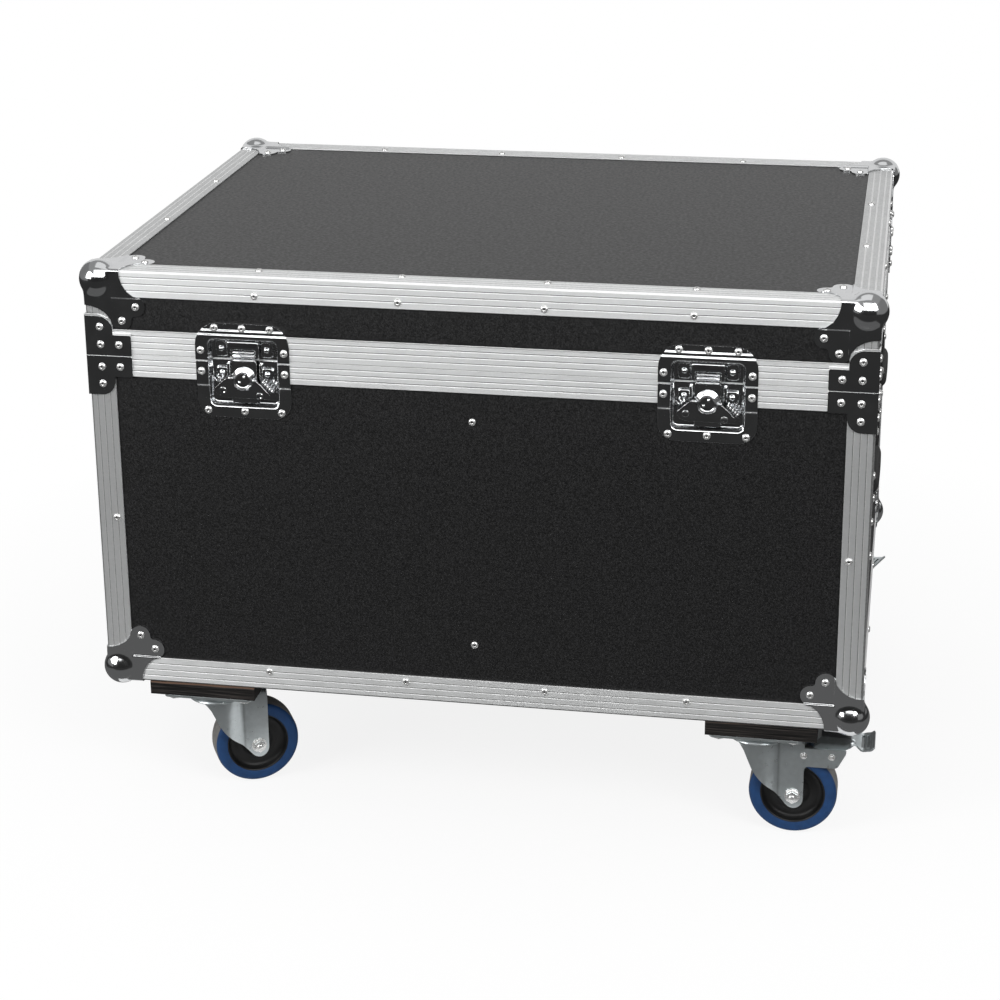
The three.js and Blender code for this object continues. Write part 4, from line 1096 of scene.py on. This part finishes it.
def fork_plan():
    """Plan of one side of the fork, round its nose and in to its flat leg."""
    turns = [math.radians(angle) for angle in range(0, 109, 9)]
    plan = [(-NOSE_RADIUS * math.cos(turn), NOSE_RADIUS * math.sin(turn)) for turn in turns]
    plan += [(13.2, 27.4), (16.4, 25.7), (19.4, 24.1), (22.4, 23), (25.4, 22.55), (28, LEG_OUT), (31, LEG_OUT)]
    return plan + [(place, LEG_OUT) for place, _ in LOWER_EDGE if place > 32]


def skin(bm, columns):
    """Faces between neighbouring columns of places."""
    columns = [[bm.verts.new(place) for place in column] for column in columns]
    for here, there in zip(columns, columns[1:]):
        for low in range(len(here) - 1):
            bm.faces.new((here[low], there[low], there[low + 1], here[low + 1]))


def fork_side(bm, braked):
    """One side of the fork: its leg, its shoulder and half of its crown, with the brake's ear."""
    plan = fork_plan()
    columns = []
    for index, (u, v) in enumerate(plan):
        ahead, behind = plan[min(index + 1, len(plan) - 1)], plan[max(index - 1, 0)]
        along = Vector((ahead[0] - behind[0], ahead[1] - behind[1])).normalized()
        inward = Vector((along.y, -along.x)) if index else Vector((1, 0))
        low = interpolated(LOWER_EDGE, u)
        split = max(FORK_SPLIT, low)
        shoulder = max(SHOULDER, split)
        rows = [(u, v, low + (split - low) * share) for share in (0, 0.06, 0.3, 0.65)]
        rows += [(u, v, split + (shoulder - split) * share) for share in (0, 0.5, 1)]
        for lift, inset in SHOULDER_STEPS:
            rows.append((u + inward.x * inset, v + inward.y * inset, max(lift, split)))
        columns.append(rows + [(rows[-1][0], 0, CROWN_TOP)])
    skin(bm, columns)
    if braked:
        skin(bm, [[(u, LEG_OUT, low + (high - low) * share) for share in (0, 0.5, 1)] for u, low, high in PLATE_EDGE])


def hexagon_nut(across_flats, thickness):
    """A chamfered hexagon with its washer, standing along W from 0."""
    bm = bmesh.new()
    radius = across_flats / math.sqrt(3)
    bmesh.ops.create_cone(
        bm, cap_ends=True, segments=6, radius1=radius, radius2=radius, depth=thickness,
        matrix=Matrix.Translation((0, 0, 1.2 + thickness / 2)),
    )
    rims = [edge for edge in bm.edges if abs(edge.verts[0].co.z - edge.verts[1].co.z) < 0.01]
    bmesh.ops.bevel(
        bm, geom=rims, offset=0.9, offset_type="OFFSET", segments=2, profile=0.5, affect="EDGES", material=-1,
    )
    turned(bm, [(0, 0), (radius + 1.3, 0), (radius + 1.5, 0.3), (radius + 1.5, 1), (radius + 1.3, 1.3), (0, 1.3)], 24)
    for face in bm.faces:
        face.material_index = 1
    return bm


RACE_LOW = (
    (0, 114.6), (33, 114.4), (34, 114.6), (34.4, 115.1), (34.3, 115.7), (33.6, 116.8), (32, 118.9), (31.4, 119.4),
    (30.6, 119.8), (0, 119.95),
)
RACE_HIGH = (
    (0, 125.1), (33, 125.1), (34, 124.6), (34, 123), (33.2, 122.3), (32, 122.1), (31.6, 121), (30.6, 120.3), (0, 120.2),
)
THREAD = [(0, 0)] + [(3.9 - 0.35 * (turn % 2), 5 + turn * 0.55) for turn in range(8)] + [(3, 9.3), (0, 9.3)]
EAR_RIVET = ((0, -0.4), (4, -0.4), (3.9, 0.5), (3, 1), (2.2, 0.9), (2, 1.6), (1, 2.1), (0, 2.2))
EAR_RIVETS = ((53.1, 101), (84.4, 101.5))


def castor_fork(tag, braked):
    """Folded fork with the lower half of its ball race, and the nuts of its axle."""
    bm = bmesh.new()
    fork_side(bm, braked)
    repeat_turned(bm, Matrix.Diagonal((1, -1, 1, 1)))
    weld(bm, 0.02)
    bmesh.ops.dissolve_degenerate(bm, edges=bm.edges, dist=0.01)
    face_outwards(bm, (0, 0, 1))
    thicken(bm, FORK_SHEET)
    # The fold attribute carries painted light and shade across the fork's folds
    fold = bm.verts.layers.float.new("fold")
    for vert in bm.verts:
        vert[fold] = interpolated(FOLD_PAINTED_LIGHT, vert.co.x)
    turned(bm, RACE_LOW, 48)
    for side in (-1, 1):
        out = Matrix.Rotation(math.radians(-90 * side), 4, "X")
        nut = Matrix.Translation((AXLE[0], side * (LEG_OUT - 0.1), AXLE[1])) @ out
        stamp_bmesh(bm, hexagon_nut(13, 5.5), nut)
        stamp_turned(bm, THREAD, 18, nut, material=1)
        for u, w in EAR_RIVETS if braked else ():
            stamp_turned(bm, EAR_RIVET, 18, Matrix.Translation((u, side * LEG_OUT, w)) @ out, material=1)
    name = f"castor_fork_{tag}"
    metals = ("zinc", "rivet_metal")
    piece(bm, f"{name}_pressed", name, "zinc", castor_frame(tag), (name,), sharp=40, materials=metals)


WHEEL_SIDE = [
    (0, 14), (9, 14), (10, 13.4), (11, 9.4), (12.4, 8.6), (17.6, 8.4), (18.6, 9.2), (20, 9.5), (21.4, 9),
    (23, 8.3), (28, 8.3), (30.6, 8.9), (32.6, 10.4), (34, 12.8), (34.8, 15.6), (35.4, 16.6), (36.2, 16.9),
    (36.7, 16.6), (37, 16.8), (37.6, 17.1), (44, 17.2), (46.4, 16.7), (48.2, 15.4), (49.4, 13.4),
    (TREAD_RADIUS, 10.5), (TREAD_RADIUS, 4), (TREAD_RADIUS, 0),
]
HUB_EDGE, TYRE_EDGE = 36.75, 48.9  # radii where the tyre's side starts and ends


def castor_wheel(tag):
    """Wheel: tyre with blue sides and grey tread on a stepped hub."""
    bm = bmesh.new()
    turned(bm, WHEEL_SIDE + [(radius, -width) for radius, width in reversed(WHEEL_SIDE[:-1])], 72)
    for face in bm.faces:
        radius = face.calc_center_median().xy.length
        face.material_index = 0 if radius < HUB_EDGE else 1 if radius < TYRE_EDGE else 2
    place = castor_frame(tag) @ Matrix.Translation((AXLE[0], 0, AXLE[1])) @ QUARTER["X"]
    name = f"castor_wheel_{tag}"
    rubbers = ("hub_plastic", "tyre", "tread")
    piece(bm, f"{name}_turned", name, "tyre", place, (name,), sharp=50, materials=rubbers)


def castor_plate(tag):
    """Mounting plate of a castor with its ball race and four nuts."""
    bm = bmesh.new()
    top, sheet = 128, 3
    raise_faces(bm, [rounded_rectangle(bm, (-52.5, -42), (52.5, 42), (6, 6, 6, 6), top)], -sheet)
    turned(bm, RACE_HIGH, 48)
    for u in (-42, 42):
        for v in (-32, 32):
            flip = Matrix.Translation((u, v, top - sheet + 0.1)) @ Matrix.Rotation(math.pi, 4, "X")
            stamp_bmesh(bm, hexagon_nut(12, 2.6), flip)
    node = f"castor_plate_{tag}"
    metals = ("zinc", "rivet_metal")
    piece(bm, f"{node}_pressed", "base", "zinc", castor_frame(tag, False), (node,), edge=0.3, materials=metals)


PEDAL_TOP, PEDAL_SHEET, PEDAL_HUMP = 114, 2, 8.5
FLANGE_START = 14  # half of the width between the flanges
TIP_SLOTS, SLOT_LENGTH, SLOT_DEPTH = (116.6, 122.6), 3, 1.3


def brake_pedal(tag):
    """Brake pedal: folded flanges at its pivot, and a flared tip with two sunk slots and a raised lip."""
    bm = bmesh.new()
    half = [(64, 20), (106, 20), (114, 19.5), (120, 22.5), (131, 22.5)]
    polygon(bm, [(u, -v) for u, v in half] + half[::-1], PEDAL_TOP)
    for u in (131, 120):
        for v in (-22.5, 22.5):
            round_corner(bm, (u, v, PEDAL_TOP), 3, 4)
    slice_faces(bm, 0, (72, 80, 90, 98, 104, 107, 110, 113, 116.6, 119.6, 122.6, 125.6, 127, 128.4, 129.6))
    slice_faces(bm, 1, (-17, -15, -14, -13, -5, 5, 13, 14, 15, 17))
    # The fold attribute carries painted light: painted highlights on the flanges and the tip, painted shade at the root
    # by the pivot
    pedal_painted_light = bm.verts.layers.float.new("fold")
    for vert in bm.verts:
        u, v, w = vert.co
        fold = 1 - ramp(u, 100, 113)
        over = max(abs(v) - FLANGE_START, 0) * fold
        hump = PEDAL_HUMP * ramp(u, 64, 72) * (1 - ramp(u, 107, 119))
        dip = 2.2 * ramp(u, 104, 114) * (1 - ramp(u, 114, 126))
        vert.co.y = math.copysign(abs(v) - over * 0.75, v)
        vert.co.z = w + hump - over * (1.1 + hump / 6) + 3.2 * ramp(u, 126, 131) - dip
        vert[pedal_painted_light] = 0.3 if over > 5 else 0.15 * ramp(u, 112, 116) - 0.4 * fold
    face_outwards(bm, (0, 0, 1))
    thicken(bm, PEDAL_SHEET)
    bmesh.ops.recalc_face_normals(bm, faces=bm.faces)
    slots = []
    for face in bm.faces:
        middle = face.calc_center_median()
        in_slot = any(low < middle.x < low + SLOT_LENGTH for low in TIP_SLOTS)
        if in_slot and face.normal.z > 0.5 and abs(middle.y) < 15:
            slots.append(face)
    for sunk in verts_of(bmesh.ops.extrude_face_region(bm, geom=slots)):
        sunk.co.z -= SLOT_DEPTH
        # painted shade in the sunk slots
        sunk[pedal_painted_light] = -0.3
    bmesh.ops.delete(bm, geom=slots, context="FACES")
    name = f"brake_pedal_{tag}"
    piece(bm, f"{name}_pressed", name, "zinc", castor_frame(tag), (name,), edge=0.3)


class FLIGHTCASE_OT_castors(bpy.types.Operator):
    """Builds the four swivel castors, two of them with brakes"""

    bl_idname = "flight_case.castors"
    bl_label = "Castors"

    def execute(self, context):
        for across, along in CORNERS:
            tag = f"{along}_{across}"
            braked = f"brake_press_{tag}" in JOINTS
            castor_plate(tag)
            castor_fork(tag, braked)
            castor_wheel(tag)
            if braked:
                brake_pedal(tag)
        return {"FINISHED"}


class FLIGHTCASE_OT_finishes(bpy.types.Operator):
    """Makes the finishes and puts them on the solids that show"""

    bl_idname = "flight_case.finishes"
    bl_label = "Finishes"

    def execute(self, context):
        colours = context.scene.case_colours
        make_aluminium(colours.aluminium)
        make_zinc(colours.zinc)
        make_board(colours.board)
        for name, look in PLAIN_FINISHES.items():
            make_plain(name, getattr(colours, name), **look)
        for name, node in frame["nodes"].items():
            node.data.materials.clear()
            group = "_".join(name.split("_")[:2])
            node.data.materials.append(finishes[NODE_FINISHES[group]])
        return {"FINISHED"}


NODE_FINISHES = {
    "lid_top": "laminate", "lid_walls": "laminate", "base_floor": "laminate", "base_walls": "laminate",
    "lid_edge": "aluminium", "base_edge": "aluminium", "lid_tongue": "aluminium", "base_groove": "aluminium",
    "lid_ball": "chrome", "base_ball": "chrome", "latch_dish": "chrome", "latch_keeper": "chrome",
    "latch_hub": "chrome", "latch_wing": "chrome", "latch_hook": "chrome", "handle_dish": "black_steel",
    "handle_bail": "grip_rubber", "castor_board": "board", "castor_plate": "zinc", "castor_fork": "zinc",
    "castor_wheel": "tyre", "brake_pedal": "zinc",
}


# Stage
ROOM = 10.0
APRON = (0.47, 0.37)  # half the size of the pale floor under the case
NEAR = (1.0, 0.9)  # half the size of the grey floor round that
LAMPS = {  # place, side of the square and power
    "left_softbox": ((-2.3, -2.3, 1.7), 1.6, 60),
    "right_softbox": ((2.0, -2.2, 2.3), 1.6, 55),
    "top_softbox": ((0, 0.3, 3.4), 2.2, 8),
}
LAMP_TARGET = Vector((0, 0, 0.4))
LENS, SHIFT = 83.74, -0.1
CAMERA_PLACE = (0.458661, -2.682314, 1.314148)
CAMERA_TURN = (71.4531, 0.37793, 10.17798)


def set_world(scene):
    """A white studio: full strength where seen or mirrored, and half of it as light."""
    world = bpy.data.worlds.new("studio")
    world.use_nodes = True
    scene.world = world
    background = world.node_tree.nodes["Background"]
    background.inputs["Color"].default_value = (1, 1, 1, 1)
    path = add_node(world, "ShaderNodeLightPath").outputs
    seen = calc(world, "MAXIMUM", path["Is Camera Ray"], path["Is Glossy Ray"])
    clear = calc(world, "MAXIMUM", seen, path["Is Transmission Ray"])
    strength = remapped(world, clear, 0.0, 1.0, 0.5, 1.0)
    world.node_tree.links.new(strength, background.inputs["Strength"])


def stage_plane(name, width, height, place, material):
    """A flat stage piece with its place in its mesh."""
    bm = bmesh.new()
    bmesh.ops.create_grid(bm, x_segments=1, y_segments=1, size=0.5)
    move(bm, place @ Matrix.Diagonal((width, height, 1, 1)))
    made = mesh_object(bm, name, [material])
    return made


def floor_material():
    """White that keeps a soft shadow under the object."""
    material, shader = finish("floor", (0.92, 0.92, 0.92), 0.9)
    nodes, links = material.node_tree.nodes, material.node_tree.links
    seen = add_node(material, "ShaderNodeLightPath").outputs["Is Camera Ray"]
    away = {0: object_place(material)}
    away = add_node(material, "ShaderNodeVectorMath", away, operation="LENGTH").outputs["Value"]
    share = calc(material, "MULTIPLY", seen, remapped(material, away, 0.4, 1.1, 0.86, 1.0))
    glow = add_node(material, "ShaderNodeEmission", {"Color": (1, 1, 1, 1), "Strength": 1.0})
    mix = add_node(material, "ShaderNodeMixShader", {0: share, 1: shader.outputs[0], 2: glow.outputs[0]})
    links.new(mix.outputs[0], nodes["Material Output"].inputs["Surface"])
    return material


def area_light(name, place, side, power):
    lamp = bpy.data.lights.new(name, "AREA")
    lamp.shape = "RECTANGLE"
    lamp.size, lamp.size_y, lamp.energy = side, side, power
    made = bpy.data.objects.new(name, lamp)
    made.location = place
    made.rotation_euler = (LAMP_TARGET - Vector(place)).to_track_quat("-Z", "Y").to_euler()
    bpy.context.scene.collection.objects.link(made)


def mirror_screen(name, level, width, height, place):
    """A studio screen of one grey level that only mirrors see."""
    material = bpy.data.materials.new(name)
    material.use_nodes = True
    glow = add_node(material, "ShaderNodeEmission", {"Color": (1, 1, 1, 1), "Strength": level})
    output = material.node_tree.nodes["Material Output"]
    material.node_tree.links.new(glow.outputs[0], output.inputs["Surface"])
    screen = stage_plane(name, width, height, place, material)
    for ray in ("camera", "diffuse", "shadow", "transmission"):
        setattr(screen, f"visible_{ray}", False)


def mirror_ring(name, level, inner, outer):
    """Four flat screens round a rectangle, just over the floor."""
    height = 0.001
    for across, side in ((-1, "left"), (1, "right")):
        place = Matrix.Translation((across * (outer[0] + inner[0]) / 2, 0, height))
        mirror_screen(f"{name}_{side}", level, outer[0] - inner[0], 2 * outer[1], place)
    for along, side in ((-1, "front"), (1, "back")):
        place = Matrix.Translation((0, along * (outer[1] + inner[1]) / 2, height))
        mirror_screen(f"{name}_{side}", level, 2 * inner[0], outer[1] - inner[1], place)


def add_room():
    """Dark in front, pale behind and grey at the sides, as the studio shows in polished metal."""
    half, rise = ROOM / 2, ROOM / 4
    upright = QUARTER["X"]
    sideways = QUARTER["Z"] @ upright
    mirror_ring("near_floor", 0.115, APRON, NEAR)
    mirror_ring("far_floor", 0.03, NEAR, (half, half))
    for name, level, size, place, turn in (
        ("front_screen", 0.02, (ROOM, half), (0, -half, rise), upright),
        ("back_screen", 0.72, (ROOM, half), (0, half, rise), upright),
        ("left_screen", 0.2, (ROOM, half), (-half, 0, rise), sideways),
        ("right_screen", 0.2, (ROOM, half), (half, 0, rise), sideways),
        ("roof_screen", 0.3, (ROOM, ROOM), (0, 0, half), Matrix.Identity(4)),
        ("near_front_screen", 5.2, (2.4, 0.22), (0.1, -1.2, 1.05), upright),
        ("upper_front_screen", 1.5, (3.2, 1.6), (0.2, -3, 3.2), Matrix.Rotation(math.radians(45), 4, "X")),
    ):
        mirror_screen(name, level, *size, Matrix.Translation(place) @ turn)


class FLIGHTCASE_OT_stage(bpy.types.Operator):
    """Adds the floor, the studio light and the camera"""

    bl_idname = "flight_case.stage"
    bl_label = "Stage"

    def execute(self, context):
        scene = context.scene
        scene.view_settings.view_transform = "Standard"
        set_world(scene)
        side = scene.case_sizes.floor
        stage_plane("floor", side, side, Matrix.Translation((0, 0, -0.0005)), floor_material())
        for name, lamp in LAMPS.items():
            area_light(name, *lamp)
        add_room()
        lens = bpy.data.cameras.new("camera")
        lens.lens, lens.shift_y = LENS, SHIFT
        camera = bpy.data.objects.new("camera", lens)
        camera.location = CAMERA_PLACE
        camera.rotation_euler = [math.radians(angle) for angle in CAMERA_TURN]
        scene.collection.objects.link(camera)
        scene.camera = camera
        return {"FINISHED"}


class FLIGHTCASE_PT_panel(bpy.types.Panel):
    """Lists the steps that dress the case"""

    bl_idname = "FLIGHTCASE_PT_panel"
    bl_label = "Flight Case"
    bl_space_type = "VIEW_3D"
    bl_region_type = "UI"
    bl_category = "Flight Case"

    def draw(self, context):
        for group in (context.scene.case_sizes, context.scene.case_colours):
            for name in group.bl_rna.properties.keys():
                if name not in ("rna_type", "name"):
                    self.layout.prop(group, name)
        for step in STEPS:
            self.layout.operator(step.bl_idname)


STEPS = (
    FLIGHTCASE_OT_finishes, FLIGHTCASE_OT_rivets, FLIGHTCASE_OT_braces, FLIGHTCASE_OT_ball_corners,
    FLIGHTCASE_OT_latches, FLIGHTCASE_OT_handles, FLIGHTCASE_OT_castors, FLIGHTCASE_OT_stage,
)
CLASSES = (CaseSizes, CaseColours, *STEPS, FLIGHTCASE_PT_panel)


def register():
    for cls in CLASSES:
        bpy.utils.register_class(cls)
    bpy.types.Scene.case_sizes = bpy.props.PointerProperty(type=CaseSizes)
    bpy.types.Scene.case_colours = bpy.props.PointerProperty(type=CaseColours)


def unregister():
    del bpy.types.Scene.case_colours
    del bpy.types.Scene.case_sizes
    for cls in reversed(CLASSES):
        bpy.utils.unregister_class(cls)


def main():
    register()
    for step in STEPS:
        group, name = step.bl_idname.split(".")
        getattr(getattr(bpy.ops, group), name)()


if __name__ == "__main__":
    main()
